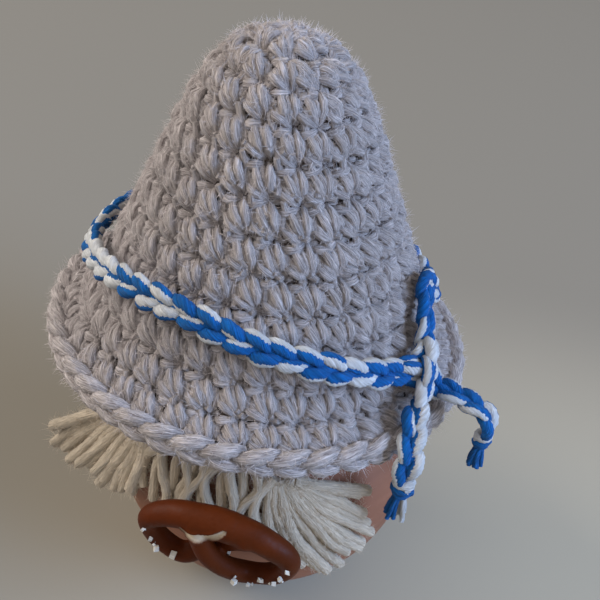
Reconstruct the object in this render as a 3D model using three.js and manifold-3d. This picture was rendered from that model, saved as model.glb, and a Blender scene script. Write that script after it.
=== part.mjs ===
// Gnome figure: a ball head with yarn hair and a pretzel, under a crocheted hat.
// Millimetres, +Z up. The flat under the head is at Z = 0 and the face looks to -Y.
import * as THREE from 'three';
import { mergeVertices } from 'three/addons/utils/BufferGeometryUtils.js';
import Module from 'manifold-3d';

// Head: a craft ball with a small flat to stand on
const headDiameter = 50;
const headFlatDepth = 2;

// Space left between pieces that touch
const touchGap = 0.3;

// Hair yarn
const hairYarn = 2;
const hairCapThickness = 2.9;
const hairCapReach = 60;
const fringeCount = 8;
const fringeFrom = -29;
const fringeTo = 12;
const fringeReach = 85;
const bunchLayer = 0.8;
const bunchSpread = 9.2;
const bunchClose = 6;

// Hat: crocheted crown and brim
const brimDiameter = 69;
const brimThickness = 4;
const brimRise = 7;
const crownFootDiameter = 56;
const crownHeight = 45;
const crownTaper = 0.64;
const crownRoundness = 13;
const crownLean = 2.8;
const crownLeanSide = -72;
const hatWall = 4;
const stitchWidth = 4.7;
const stitchRelief = 1.3;
const stitchShift = 0.42;
const tipRing = 1.1;
const roundHeight = 5.33;
const brimRoundHeight = 4.4;
const hatOffsetX = -6;
const hatOffsetY = 4.2;

// Band: a two-colour cord round the crown, high in front and low at the tie and behind
const cordWidth = 4.6;
const cordThickness = 3;
const bandRise = 7.9;
const bandSlack = 0.3;

// Tie and the two tails of the cord
const tieSide = 73;
const tieWidth = 6;
const tieHeight = 5.2;
const tieDepth = 4.2;
const tailTuck = 1.6;
const frontTailHeading = 18;
const frontTailHang = 0.3;
const sideTailStart = 2;
const sideTailHeading = 84;
const sideTailReach = 4.4;
const sideTailHang = 0.3;
const tailLift = 1.2;
const tailBend = 2.5;
const knotDiameter = 4.2;
const tasselLength = 4;
const tasselDiameter = 3.6;

// Pretzel standing belly up in front of the face
const pretzelWidth = 25.8;
const pretzelHeight = 15.3;
const pretzelBelly = 4.8;
const pretzelArm = 3.4;
const pretzelSide = 7;
const pretzelBellyHeight = 31;
const pretzelLean = 15;
const pretzelRoll = -3;
const glueDiameter = 3;
const saltSize = 0.8;

const degree = Math.PI / 180;
const headRadius = headDiameter / 2;
const headCentre = new THREE.Vector3(0, 0, headRadius - headFlatDepth);
const capInner = headRadius + touchGap;
const capOuter = capInner + hairCapThickness;
const crownFoot = crownFootDiameter / 2;
const innerFoot = crownFoot - hatWall;
const edgeRadius = brimThickness / 2;
const edgeCentre = brimDiameter / 2 - edgeRadius;
const hatOffset = Math.hypot(hatOffsetX, hatOffsetY);

const wasm = await Module();
wasm.setup();

function solid(geometry) {
  const bare = geometry.clone();
  bare.deleteAttribute('normal');
  bare.deleteAttribute('uv');
  const merged = mergeVertices(bare, 1e-4);
  return new wasm.Manifold(new wasm.Mesh({
    numProp: 3,
    vertProperties: new Float32Array(merged.attributes.position.array),
    triVerts: new Uint32Array(merged.index.array),
  }));
}

function geometryOf(manifold) {
  const mesh = manifold.getMesh();
  const geometry = new THREE.BufferGeometry();
  const positions = new THREE.BufferAttribute(new Float32Array(mesh.vertProperties), 3);
  geometry.setAttribute('position', positions);
  geometry.setIndex(new THREE.BufferAttribute(new Uint32Array(mesh.triVerts), 1));
  geometry.computeVertexNormals();
  return geometry;
}

function union(geometries) {
  const first = solid(geometries[0]);
  return geometryOf(geometries.slice(1).reduce((all, one) => all.add(solid(one)), first));
}

function lathe(points, segments) {
  const geometry = new THREE.LatheGeometry(points, segments);
  geometry.rotateX(Math.PI / 2);
  return geometry;
}

// A compass direction round the head: 0 is the face, 90 is the +X side
function outward(side) {
  return new THREE.Vector3(Math.sin(side * degree), -Math.cos(side * degree), 0);
}

// A point on or above the ball, at an angle down from its top
function onHead(side, down, above) {
  const reach = headRadius + above;
  const point = outward(side).multiplyScalar(reach * Math.sin(down * degree));
  point.z = reach * Math.cos(down * degree);
  return point.add(headCentre);
}

// Yarn of one thickness along a curve
function yarn(points, diameter, steps, sides) {
  const section = new THREE.Shape();
  section.absarc(0, 0, diameter / 2, 0, 2 * Math.PI);
  return new THREE.ExtrudeGeometry(section, {
    extrudePath: new THREE.CatmullRomCurve3(points),
    steps,
    curveSegments: sides / 2,
  });
}

// A rope with flat ends through rings that each have a centre and two half axes
function rope(rings, sides) {
  const count = rings.length;
  const positions = [];
  const index = [];
  for (const ring of rings) {
    for (let k = 0; k < sides; k += 1) {
      const turn = 2 * Math.PI * k / sides;
      const point = ring.centre.clone();
      point.addScaledVector(ring.across, Math.cos(turn));
      point.addScaledVector(ring.over, Math.sin(turn));
      positions.push(point.x, point.y, point.z);
    }
  }
  for (let j = 0; j + 1 < count; j += 1) {
    for (let k = 0; k < sides; k += 1) {
      const a = j * sides + k;
      const b = j * sides + (k + 1) % sides;
      index.push(a, b, a + sides, b, b + sides, a + sides);
    }
  }
  const first = rings[0].centre;
  const last = rings[count - 1].centre;
  const tip = count * sides;
  const end = (count - 1) * sides;
  positions.push(first.x, first.y, first.z, last.x, last.y, last.z);
  for (let k = 0; k < sides; k += 1) {
    index.push(tip, (k + 1) % sides, k);
    index.push(tip + 1, end + k, end + (k + 1) % sides);
  }
  const geometry = new THREE.BufferGeometry();
  geometry.setAttribute('position', new THREE.Float32BufferAttribute(positions, 3));
  geometry.setIndex(index);
  geometry.computeVertexNormals();
  return geometry;
}

// Height of the crown's wall, and of anything else on it, is measured from the brim's edge
function crownRadius(height, foot, rise) {
  const share = Math.min(Math.max((height - brimRise) / rise, 0), 1);
  return foot * (1 - crownTaper * share) * Math.sqrt(1 - share ** crownRoundness);
}

function crownLeanAt(height) {
  const share = Math.min(Math.max((height - brimRise) / crownHeight, 0), 1);
  return outward(crownLeanSide).multiplyScalar(crownLean * share);
}

// The brim's top slopes from the crown's foot to the edge
const brimSlope = Math.atan2(brimRise - edgeRadius, edgeCentre - crownFoot);
function brimTop(radius) {
  return brimRise - (radius - crownFoot) * Math.tan(brimSlope);
}

// Its underside runs straight from the crown's inner foot, a brim thickness below, to the edge
const mouthHeight = brimTop(innerFoot) - brimThickness / Math.cos(brimSlope);
function brimUnder(radius) {
  const share = (radius - innerFoot) / (edgeCentre - innerFoot);
  return mouthHeight - (mouthHeight + edgeRadius) * share;
}

// The hat comes down until its inside meets the hair cap
function hatSeat() {
  let seat = 0;
  for (let radius = innerFoot; radius < edgeCentre; radius += 0.5) {
    const reach = radius - hatOffset;
    const cap = Math.sqrt(Math.max(capOuter ** 2 - reach ** 2, 0));
    seat = Math.max(seat, headCentre.z + cap + touchGap - brimUnder(radius));
  }
  return seat;
}
const hatPlace = new THREE.Vector3(hatOffsetX, hatOffsetY, hatSeat());

function onHat(side, radius, height) {
  const point = outward(side).multiplyScalar(radius);
  point.z = height;
  return point.add(hatPlace);
}

function leaned(geometry) {
  const place = geometry.attributes.position;
  for (let i = 0; i < place.count; i += 1) {
    const lean = crownLeanAt(place.getZ(i));
    place.setXY(i, place.getX(i) + lean.x, place.getY(i) + lean.y);
  }
  geometry.translate(hatPlace.x, hatPlace.y, hatPlace.z);
  geometry.computeVertexNormals();
  return geometry;
}

function crownLine(foot, rise, from, steps) {
  const line = [];
  for (let i = 0; i <= steps; i += 1) {
    const share = Math.sin(0.5 * Math.PI * i / steps);
    const height = from + (brimRise + rise - from) * share;
    line.push(new THREE.Vector2(i === steps ? 0 : crownRadius(height, foot, rise), height));
  }
  return line;
}

function headBall() {
  const points = [new THREE.Vector2(0, 0)];
  const start = Math.acos(1 - headFlatDepth / headRadius);
  for (let i = 0; i <= 28; i += 1) {
    const turn = start + (Math.PI - start) * i / 28;
    const radius = i === 28 ? 0 : headRadius * Math.sin(turn);
    points.push(new THREE.Vector2(radius, headCentre.z - headRadius * Math.cos(turn)));
  }
  return lathe(points, 48);
}

function hairCap() {
  const points = [];
  const steps = 10;
  for (let i = steps; i >= 0; i -= 1) {
    const turn = hairCapReach * degree * i / steps;
    points.push(new THREE.Vector2(capOuter * Math.sin(turn), capOuter * Math.cos(turn)));
  }
  for (let i = 0; i <= steps; i += 1) {
    const turn = hairCapReach * degree * i / steps;
    points.push(new THREE.Vector2(capInner * Math.sin(turn), capInner * Math.cos(turn)));
  }
  points.push(points[0].clone());
  const geometry = lathe(points, 36);
  geometry.translate(0, 0, headCentre.z);
  return geometry;
}

// A closed skin over rings of points, each in order of its sides, between two end points.
// Neighbouring rings may have different numbers of points.
function ringSkin(start, rings, end) {
  const positions = [];
  const index = [];
  const firsts = [];
  const put = (side, point) => {
    const place = outward(side).multiplyScalar(point.x);
    positions.push(place.x, place.y, point.y);
  };
  put(0, start);
  for (const ring of rings) {
    firsts.push(positions.length / 3);
    ring.forEach(({ side, point }) => put(side, point));
  }
  const last = positions.length / 3;
  put(0, end);
  const sideOf = (ring, k) => ring[k % ring.length].side + 360 * Math.floor(k / ring.length);
  rings[0].forEach((mark, k) => {
    index.push(0, firsts[0] + k, firsts[0] + (k + 1) % rings[0].length);
  });
  for (let n = 0; n + 1 < rings.length; n += 1) {
    const [above, below] = [rings[n], rings[n + 1]];
    let i = 0;
    let j = 0;
    while (i < above.length || j < below.length) {
      const a = firsts[n] + i % above.length;
      const b = firsts[n + 1] + j % below.length;
      const across = sideOf(above, i + 1) < sideOf(below, j + 1);
      if (j === below.length || (across && i < above.length)) {
        i += 1;
        index.push(a, b, firsts[n] + i % above.length);
      } else {
        j += 1;
        index.push(a, b, firsts[n + 1] + j % below.length);
      }
    }
  }
  const ending = rings[rings.length - 1];
  ending.forEach((mark, k) => {
    const first = firsts[rings.length - 1];
    index.push(first + k, last, first + (k + 1) % ending.length);
  });
  const geometry = new THREE.BufferGeometry();
  geometry.setAttribute('position', new THREE.Float32BufferAttribute(positions, 3));
  geometry.setIndex(index);
  return geometry;
}

// Radius and height down the outside of the hat, from its tip to the brim's outermost edge
const outside = crownLine(crownFoot, crownHeight, brimRise, 90).reverse();
const footStep = outside.length - 1;
for (let i = 0; i <= 12; i += 1) {
  const turn = 0.5 * Math.PI * (1 - i / 12);
  const radius = edgeCentre + edgeRadius * Math.cos(turn);
  outside.push(new THREE.Vector2(radius, edgeRadius * Math.sin(turn)));
}
const outsideArcs = [0];
for (let i = 1; i < outside.length; i += 1) {
  outsideArcs.push(outsideArcs[i - 1] + outside[i].distanceTo(outside[i - 1]));
}
const edgeArc = outsideArcs[outsideArcs.length - 1];

function onOutside(arc) {
  let i = 1;
  while (i < outside.length - 1 && outsideArcs[i] < arc) {
    i += 1;
  }
  const share = (arc - outsideArcs[i - 1]) / (outsideArcs[i] - outsideArcs[i - 1]);
  return outside[i - 1].clone().lerp(outside[i], Math.min(Math.max(share, 0), 1));
}

function sunkBy(arc, depth) {
  const fall = onOutside(arc + 0.6).sub(onOutside(arc - 0.6)).normalize();
  return onOutside(arc).add(new THREE.Vector2(fall.y, -fall.x).multiplyScalar(depth));
}

function bySide(ring) {
  const turned = ring.map(({ side, point }) => ({ side: ((side % 360) + 360) % 360, point }));
  return turned.sort((one, other) => one.side - other.side);
}

// Rounds of stitches: each has a row of holes, with two petals of yarn over every hole
function stitchRings() {
  const rounds = [];
  for (let arc = tipRing + roundHeight; arc < outsideArcs[footStep]; arc += roundHeight) {
    rounds.push({ arc, height: roundHeight });
  }
  const foot = rounds[rounds.length - 1].arc;
  for (let arc = foot + brimRoundHeight; arc < edgeArc - edgeRadius; arc += brimRoundHeight) {
    rounds.push({ arc, height: brimRoundHeight });
  }
  const tip = [];
  for (let k = 0; k < 6; k += 1) {
    tip.push({ side: 60 * k, point: sunkBy(tipRing, 0.3 * stitchRelief) });
  }
  const rings = [tip];
  rounds.forEach(({ arc, height }, n) => {
    const count = Math.max(Math.round(2 * Math.PI * onOutside(arc).x / stitchWidth), 7);
    const petals = [];
    const holes = [];
    for (let k = 0; k < count; k += 1) {
      const at = (across) => 360 * (k + stitchShift * (n + 1) + across) / count;
      petals.push({ side: at(-0.46), point: sunkBy(arc - 0.36 * height, 0) });
      petals.push({ side: at(-0.06), point: sunkBy(arc - 0.5 * height, 0.12 * stitchRelief) });
      holes.push({ side: at(0), point: sunkBy(arc, stitchRelief) });
      holes.push({ side: at(0.5), point: sunkBy(arc + 0.1 * height, 0.4 * stitchRelief) });
    }
    rings.push(bySide(petals), bySide(holes));
  });
  return rings;
}

// The stitched outside, the round edge of the brim, its underside and the plain inside
function hatShell() {
  const around = (point) => {
    const ring = [];
    for (let k = 0; k < 48; k += 1) {
      ring.push({ side: 7.5 * k, point });
    }
    return ring;
  };
  const rings = stitchRings();
  for (const turn of [30, 0, -45, -90]) {
    const radius = edgeCentre + edgeRadius * Math.cos(turn * degree);
    rings.push(around(new THREE.Vector2(radius, edgeRadius * Math.sin(turn * degree))));
  }
  rings.push(around(new THREE.Vector2(innerFoot, mouthHeight)));
  const inside = crownLine(innerFoot, crownHeight - hatWall, brimRise, 12);
  const top = inside.pop();
  inside.forEach((point) => rings.push(around(point)));
  return leaned(ringSkin(outside[0], rings, top));
}

// Head height where the hair cap ends, so the strands start just under it
const hairRoot = hairCapReach + (touchGap + hairYarn / 2) / headRadius / degree;
const strandLift = touchGap + hairYarn / 2;

function hatStuffing() {
  const bottom = headCentre.z + capOuter + touchGap - hatPlace.z;
  const line = crownLine(innerFoot, crownHeight - hatWall, bottom, 12);
  const points = [new THREE.Vector2(0, bottom)];
  for (const point of line) {
    points.push(new THREE.Vector2(Math.max(point.x - touchGap, 0), point.y - touchGap));
  }
  points[1].y = bottom;
  points[points.length - 1].x = 0;
  return leaned(lathe(points, 32));
}

function fringeLine(number) {
  const share = number / (fringeCount - 1);
  const side = fringeFrom + (fringeTo - fringeFrom) * share;
  const lean = 1.6 * Math.sin(2.4 * number);
  const reach = fringeReach - 3 * Math.sin(1.7 * number + 0.4) ** 2;
  const points = [];
  for (let i = 0; i <= 4; i += 1) {
    const down = hairRoot + (reach - hairRoot) * i / 4;
    points.push(onHead(side + lean * (i / 4) ** 2 * 0.4, down, strandLift));
  }
  return points;
}

function bunch(strands) {
  return union(strands.map((points) => yarn(points, hairYarn, 8, 8)));
}

function rightBunch() {
  const strands = [];
  for (let i = 0; i < 8; i += 1) {
    const share = i / 7;
    const tipSide = 47 + 13 * Math.sin(Math.PI * share);
    const tipDown = 112 - 35 * share;
    const lift = strandLift + (i % 2) * bunchLayer;
    const rootSide = 21 + 6 * share;
    const points = [];
    for (let k = 0; k <= 4; k += 1) {
      const along = k / 4;
      const bend = 8 * Math.sin(Math.PI * along) * (share - 0.6);
      const side = rootSide + (tipSide - rootSide) * along + bend;
      const down = hairRoot + 2 + (tipDown - hairRoot - 2) * along;
      points.push(onHead(side, down, lift));
    }
    strands.push(points);
  }
  return bunch(strands);
}

function leftBunch() {
  const strands = [];
  for (let i = 0; i < 8; i += 1) {
    const share = i / 7;
    const rootSide = -43 + 7 * share;
    const tipSide = -60 + 22 * share;
    const tipDown = 91.5 + 4 * Math.sin(Math.PI * share);
    const tipLift = bunchSpread - bunchClose * share ** 0.7;
    const points = [];
    for (let k = 0; k <= 4; k += 1) {
      const along = k / 4;
      const side = rootSide + (tipSide - rootSide) * along;
      const down = hairRoot + 1 + (tipDown - hairRoot - 1) * along;
      points.push(onHead(side, down, strandLift + tipLift * along ** 1.3));
    }
    strands.push(points);
  }
  return bunch(strands);
}

// Rise of the band over its lowest place, as a share, by side: it is lowest at the tie, climbs the
// crown beside it, passes behind and comes round high over the face
const bandClimb = [
  [tieSide, 0], [79, 0.25], [84, 0.62], [87, 0.92], [91, 1.1], [97, 0.98], [105, 0.64], [115, 0.36],
  [132, 0.24], [165, 0.22], [220, 0.24], [268, 0.22], [287, 0.3], [305, 0.58], [324, 0.84], [351, 1],
  [378, 0.74], [403, 0.4], [420, 0.12], [tieSide + 360, 0],
];

// Centre line of the band, which lies on the crown
const crownSlope = Math.atan(crownTaper * crownFoot / crownHeight);
function bandCentre(side) {
  const turn = ((side - tieSide) % 360 + 360) % 360 + tieSide;
  const last = bandClimb.length - 2;
  let i = 0;
  while (i < last && bandClimb[i + 1][0] < turn) {
    i += 1;
  }
  const [from, low] = bandClimb[i];
  const [to, high] = bandClimb[i + 1];
  const before = i > 0 ? bandClimb[i - 1] : [bandClimb[last][0] - 360, bandClimb[last][1]];
  const after = i < last ? bandClimb[i + 2] : [bandClimb[1][0] + 360, bandClimb[1][1]];
  const leave = (high - before[1]) / (to - before[0]) * (to - from);
  const enter = (after[1] - low) / (after[0] - from) * (to - from);
  const t = (turn - from) / (to - from);
  const ease = low + t * (leave + t * (3 * (high - low) - 2 * leave - enter
    + t * (2 * (low - high) + leave + enter)));
  const height = brimRise + cordWidth / 2 + bandRise * Math.max(ease, 0);
  const lift = (cordThickness / 2 + touchGap + bandSlack) / Math.cos(crownSlope);
  const lean = crownLeanAt(height).dot(outward(side));
  return onHat(side, crownRadius(height, crownFoot, crownHeight) + lift + lean, height);
}

// The band's two ends stop at the tie
function hatBand() {
  const count = 60;
  const centre = bandCentre(tieSide);
  const reach = Math.hypot(centre.x - hatPlace.x, centre.y - hatPlace.y);
  const open = (tieWidth / 2 + touchGap) / reach / degree;
  const sides = [];
  const runs = [0];
  for (let i = 0; i <= 720; i += 1) {
    sides.push(tieSide + open + (360 - 2 * open) * i / 720);
    if (i > 0) {
      runs.push(runs[i - 1] + bandCentre(sides[i]).distanceTo(bandCentre(sides[i - 1])));
    }
  }
  const rings = [];
  let i = 0;
  for (let k = 0; k <= count; k += 1) {
    while (i < 720 && runs[i] < runs[720] * k / count) {
      i += 1;
    }
    const along = bandCentre(sides[i] + 0.5).sub(bandCentre(sides[i] - 0.5)).normalize();
    const face = outward(sides[i]).multiplyScalar(Math.cos(crownSlope));
    face.z = Math.sin(crownSlope);
    const across = new THREE.Vector3().crossVectors(face, along).normalize();
    const over = new THREE.Vector3().crossVectors(along, across);
    rings.push({
      centre: bandCentre(sides[i]),
      across: across.multiplyScalar(cordWidth / 2),
      over: over.multiplyScalar(cordThickness / 2),
    });
  }
  return rope(rings, 10);
}

// The tie is thicker than the cord, so it sits a little further out
const tieCentre = bandCentre(tieSide);
tieCentre.addScaledVector(outward(tieSide), (tieDepth - cordThickness) / 2);

function bandTie() {
  const geometry = new THREE.SphereGeometry(0.5, 16, 10);
  geometry.scale(tieWidth, tieDepth, tieHeight);
  geometry.rotateZ(tieSide * degree);
  geometry.translate(tieCentre.x, tieCentre.y, tieCentre.z);
  return geometry;
}

// Top of the brim, out to the end of its rounded edge
function brimTopAt(radius) {
  const past = Math.min(Math.max(radius - edgeCentre, 0), edgeRadius);
  const edge = Math.sqrt(edgeRadius ** 2 - past ** 2);
  return radius < edgeCentre ? brimTop(radius) : edge;
}

// A tail starts beside the tie, keeps to one upright plane and drops past the edge of the brim.
// With a reach it stands out over the edge first, and otherwise it lies on the brim.
function tail(sideways, heading, reach, hang) {
  const ahead = outward(heading);
  const start = tieCentre.clone();
  start.addScaledVector(outward(tieSide), (tieDepth + cordThickness) / 2 - tailTuck);
  start.addScaledVector(outward(tieSide + 90), sideways);
  const radiusAt = (run) => Math.hypot(
    start.x + ahead.x * run - hatPlace.x,
    start.y + ahead.y * run - hatPlace.y,
  );
  const above = cordThickness / 2 + touchGap;
  const drop = brimDiameter / 2 + above + cordWidth * 0.15;
  let run = 0;
  while (radiusAt(run) < drop) {
    run += 0.05;
  }
  const steep = above / Math.cos(brimSlope) + 0.6;
  const route = [[0, brimTopAt(radiusAt(0)) + steep]];
  if (reach > 0) {
    const over = edgeRadius + above + tailLift;
    for (const turn of [0, 30, 60, 90]) {
      const beyond = reach - tailBend * (1 - Math.sin(turn * degree));
      route.push([run + beyond, over - tailBend * (1 - Math.cos(turn * degree))]);
    }
    route.push([run + reach, over - tailBend - hang]);
  } else {
    route.push([run * 0.35, brimTopAt(radiusAt(run * 0.35)) + steep]);
    route.push([run * 0.7, brimTopAt(radiusAt(run * 0.7)) + above + 0.7]);
    route.push([run, edgeRadius * 0.6]);
    route.push([run + 0.5, -edgeRadius]);
    route.push([run + 0.6, -edgeRadius - hang]);
  }
  const at = ([along, height]) => new THREE.Vector3(
    start.x + ahead.x * along,
    start.y + ahead.y * along,
    hatPlace.z + height,
  );
  const curve = new THREE.CatmullRomCurve3(route.map(at));
  const across = outward(heading + 90);
  const rings = [];
  const ringAt = (centre, along, size) => {
    const over = new THREE.Vector3().crossVectors(along, across).normalize();
    rings.push({
      centre,
      across: across.clone().multiplyScalar(size * cordWidth / 2),
      over: over.multiplyScalar(size * cordThickness / 2),
    });
  };
  const first = curve.getTangentAt(0);
  for (const turn of [18, 40, 65]) {
    const back = cordThickness / 2 * Math.cos(turn * degree);
    ringAt(curve.getPointAt(0).addScaledVector(first, -back), first, Math.sin(turn * degree));
  }
  for (let i = 0; i <= 14; i += 1) {
    ringAt(curve.getPointAt(i / 14), curve.getTangentAt(i / 14), 1);
  }
  const knot = curve.getPointAt(1);
  knot.z -= touchGap + knotDiameter * 0.46;
  return { cord: rope(rings, 10), knot, hinge: curve.getPointAt(0), across };
}

const frontTail = tail(-tieWidth / 2 - touchGap, frontTailHeading, 0, frontTailHang);
const sideTail = tail(sideTailStart, sideTailHeading, sideTailReach, sideTailHang);

function tailKnot(place) {
  const geometry = new THREE.SphereGeometry(knotDiameter / 2, 16, 10);
  geometry.scale(1, 1, 0.92);
  geometry.translate(place.x, place.y, place.z);
  return geometry;
}

function tailTassel(place) {
  const top = -knotDiameter * 0.46 - touchGap;
  const points = [
    new THREE.Vector2(0, top - tasselLength),
    new THREE.Vector2(tasselDiameter / 2, top - tasselLength),
    new THREE.Vector2(tasselDiameter * 0.42, top - tasselLength * 0.4),
    new THREE.Vector2(tasselDiameter * 0.2, top),
    new THREE.Vector2(0, top),
  ];
  const geometry = lathe(points, 16);
  geometry.translate(place.x, place.y, place.z);
  return geometry;
}

// Pretzel: it leans back from the fringe, which its belly rests on, to the ball
const pretzelOut = outward(pretzelSide);
const pretzelUp = new THREE.Vector3(0, 0, Math.cos(pretzelLean * degree));
pretzelUp.addScaledVector(pretzelOut, Math.sin(pretzelLean * degree));
const pretzelAcross = outward(pretzelSide + 90);
const pretzelForward = new THREE.Vector3().crossVectors(pretzelAcross, pretzelUp);
pretzelUp.applyAxisAngle(pretzelForward, pretzelRoll * degree);
pretzelAcross.applyAxisAngle(pretzelForward, pretzelRoll * degree);
const bellyPlace = new THREE.Vector3(0, 0, pretzelBellyHeight);

// Places on the pretzel are counted from the middle of its height, up and across
function onPretzel(across, up, forward) {
  const point = bellyPlace.clone();
  point.addScaledVector(pretzelAcross, across);
  point.addScaledVector(pretzelUp, up - (pretzelHeight - pretzelBelly) / 2);
  return point.addScaledVector(pretzelForward, forward);
}

// One half of the dough rope, from just past the middle of the belly round a lobe to its end
function pretzelHalf(hand, front) {
  const half = (pretzelWidth - pretzelArm * 1.15) / 2;
  const top = pretzelHeight / 2 - pretzelBelly / 2;
  const low = -pretzelHeight / 2 + pretzelArm / 2;
  const rest = pretzelBelly * 0.18;
  const twist = front * pretzelArm * 0.42;
  return new THREE.CatmullRomCurve3([
    onPretzel(-hand * half * 0.15, top * 0.99, 0),
    onPretzel(hand * half * 0.15, top * 0.99, 0),
    onPretzel(hand * half * 0.58, top * 0.84, 0),
    onPretzel(hand * half * 0.98, top * 0.2, 0),
    onPretzel(hand * half * 0.84, low * 0.68, 0),
    onPretzel(hand * half * 0.46, low, 0.2),
    onPretzel(hand * half * 0.12, low * 0.5, 0.4 + twist),
    onPretzel(-hand * half * 0.12, -low * 0.02, 0.6 + twist),
    onPretzel(-hand * half * 0.36, top * 0.92, rest),
  ]);
}

function pretzelThickness(share) {
  const belly = Math.cos(Math.min(share / 0.4, 1) * Math.PI / 2) ** 1.3;
  return pretzelArm + (pretzelBelly - pretzelArm) * belly;
}

// The pretzel stands out just far enough to clear the ball and every strand of the fringe
function pretzelReach() {
  const inTheWay = [{ place: headCentre, radius: headRadius }];
  for (let i = 0; i < fringeCount; i += 1) {
    for (const place of new THREE.CatmullRomCurve3(fringeLine(i)).getSpacedPoints(12)) {
      inTheWay.push({ place, radius: hairYarn / 2 });
    }
  }
  let reach = 0;
  for (const curve of [pretzelHalf(-1, -1), pretzelHalf(1, 1)]) {
    for (let i = 0; i <= 60; i += 1) {
      const dough = curve.getPointAt(i / 60);
      for (const { place, radius } of inTheWay) {
        const clear = radius + pretzelThickness(i / 60) / 2 + touchGap;
        const offset = dough.clone().sub(place);
        const ahead = offset.dot(pretzelOut);
        const room = clear ** 2 + ahead ** 2 - offset.lengthSq();
        reach = room > 0 ? Math.max(reach, Math.sqrt(room) - ahead) : reach;
      }
    }
  }
  return reach;
}
bellyPlace.addScaledVector(pretzelOut, pretzelReach());

const pretzelLeft = pretzelHalf(-1, -1);
const pretzelRight = pretzelHalf(1, 1);

function doughRope(curve, steps, sides, extra = 0) {
  const rings = [];
  for (let i = 0; i <= steps; i += 1) {
    const share = i / steps;
    const along = curve.getTangentAt(share);
    const across = new THREE.Vector3().crossVectors(pretzelForward, along).normalize();
    const over = new THREE.Vector3().crossVectors(along, across).normalize();
    const size = pretzelThickness(share) / 2 + extra;
    const centre = curve.getPointAt(share);
    rings.push({
      centre,
      across: across.multiplyScalar(size),
      over: over.multiplyScalar(size),
    });
  }
  const last = rings[rings.length - 1];
  const along = curve.getTangentAt(1);
  for (const turn of [30, 60, 80]) {
    rings.push({
      centre: last.centre.clone().addScaledVector(along, 0.5 * pretzelArm * Math.sin(turn * degree)),
      across: last.across.clone().multiplyScalar(Math.cos(turn * degree)),
      over: last.over.clone().multiplyScalar(Math.cos(turn * degree)),
    });
  }
  return rope(rings, sides);
}

function pretzel() {
  return union([doughRope(pretzelLeft, 34, 14), doughRope(pretzelRight, 34, 14)]);
}

// A salt grain lies on the front of the dough rope, turned towards its upper side
function saltGrain(number, curve, share, turn) {
  const along = curve.getTangentAt(share);
  const out = pretzelForward.clone().multiplyScalar(Math.cos(turn * degree));
  out.addScaledVector(pretzelUp, Math.sin(turn * degree));
  out.addScaledVector(along, -out.dot(along)).normalize();
  const size = saltSize * (0.85 + 0.3 * Math.abs(Math.sin(3.1 * number)));
  const geometry = new THREE.BoxGeometry(size, size * 0.85, size * 0.9);
  geometry.rotateZ(1.3 * number);
  const tilt = new THREE.Quaternion();
  tilt.setFromUnitVectors(new THREE.Vector3(0, 0, 1), out);
  geometry.applyQuaternion(tilt);
  const place = curve.getPointAt(share);
  const lift = pretzelThickness(share) / 2 + touchGap * 0.5 + size * 0.45;
  place.addScaledVector(out, lift);
  geometry.translate(place.x, place.y, place.z);
  return geometry;
}

// Glue dab between the ball and the back of the arms where they cross, under the fringe's tips
function glueDab() {
  const tips = onHead(pretzelSide, fringeReach, strandLift).z - hairYarn / 2;
  const place = onPretzel(0, -pretzelHeight * 0.14, 0);
  place.z = Math.min(place.z, tips - touchGap - glueDiameter / 2);
  const inner = headCentre.clone();
  inner.z = place.z;
  const reach = place.distanceTo(inner);
  const depth = reach - headRadius * 0.9;
  const bar = new THREE.CylinderGeometry(glueDiameter / 2, glueDiameter / 2, depth, 20);
  bar.rotateZ(pretzelSide * degree);
  bar.translate(
    pretzelOut.x * (reach - depth / 2),
    pretzelOut.y * (reach - depth / 2),
    place.z,
  );
  const ball = new THREE.SphereGeometry(headRadius + touchGap, 48, 32);
  ball.translate(headCentre.x, headCentre.y, headCentre.z);
  const left = solid(doughRope(pretzelLeft, 34, 14, touchGap));
  const right = solid(doughRope(pretzelRight, 34, 14, touchGap));
  return geometryOf(solid(bar).subtract(solid(ball)).subtract(left).subtract(right));
}

const group = new THREE.Group();
group.name = 'gnome_figure';

function piece(name, geometry, colour, roughness) {
  const material = new THREE.MeshStandardMaterial({ color: colour, roughness });
  const mesh = new THREE.Mesh(geometry, material);
  mesh.name = name;
  group.add(mesh);
  return mesh;
}

const greyYarn = 0xb2aeb2;
const hairColour = 0xcdc8c0;
const cordBlue = 0x0755a0;
const cordWhite = 0xe1e4eb;

piece('head', headBall(), 0x966e5f, 0.5);
piece('hair_cap', hairCap(), hairColour, 0.9);
for (let i = 0; i < fringeCount; i += 1) {
  piece(`fringe_strand_${i + 1}`, yarn(fringeLine(i), hairYarn, 8, 8), hairColour, 0.9);
}
piece('hair_bunch_left', leftBunch(), hairColour, 0.9);
piece('hair_bunch_right', rightBunch(), hairColour, 0.9);
piece('hat', hatShell(), greyYarn, 0.95);
piece('hat_stuffing', hatStuffing(), 0xe8e6e0, 0.95);
piece('hat_band', hatBand(), cordBlue, 0.9);

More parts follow.
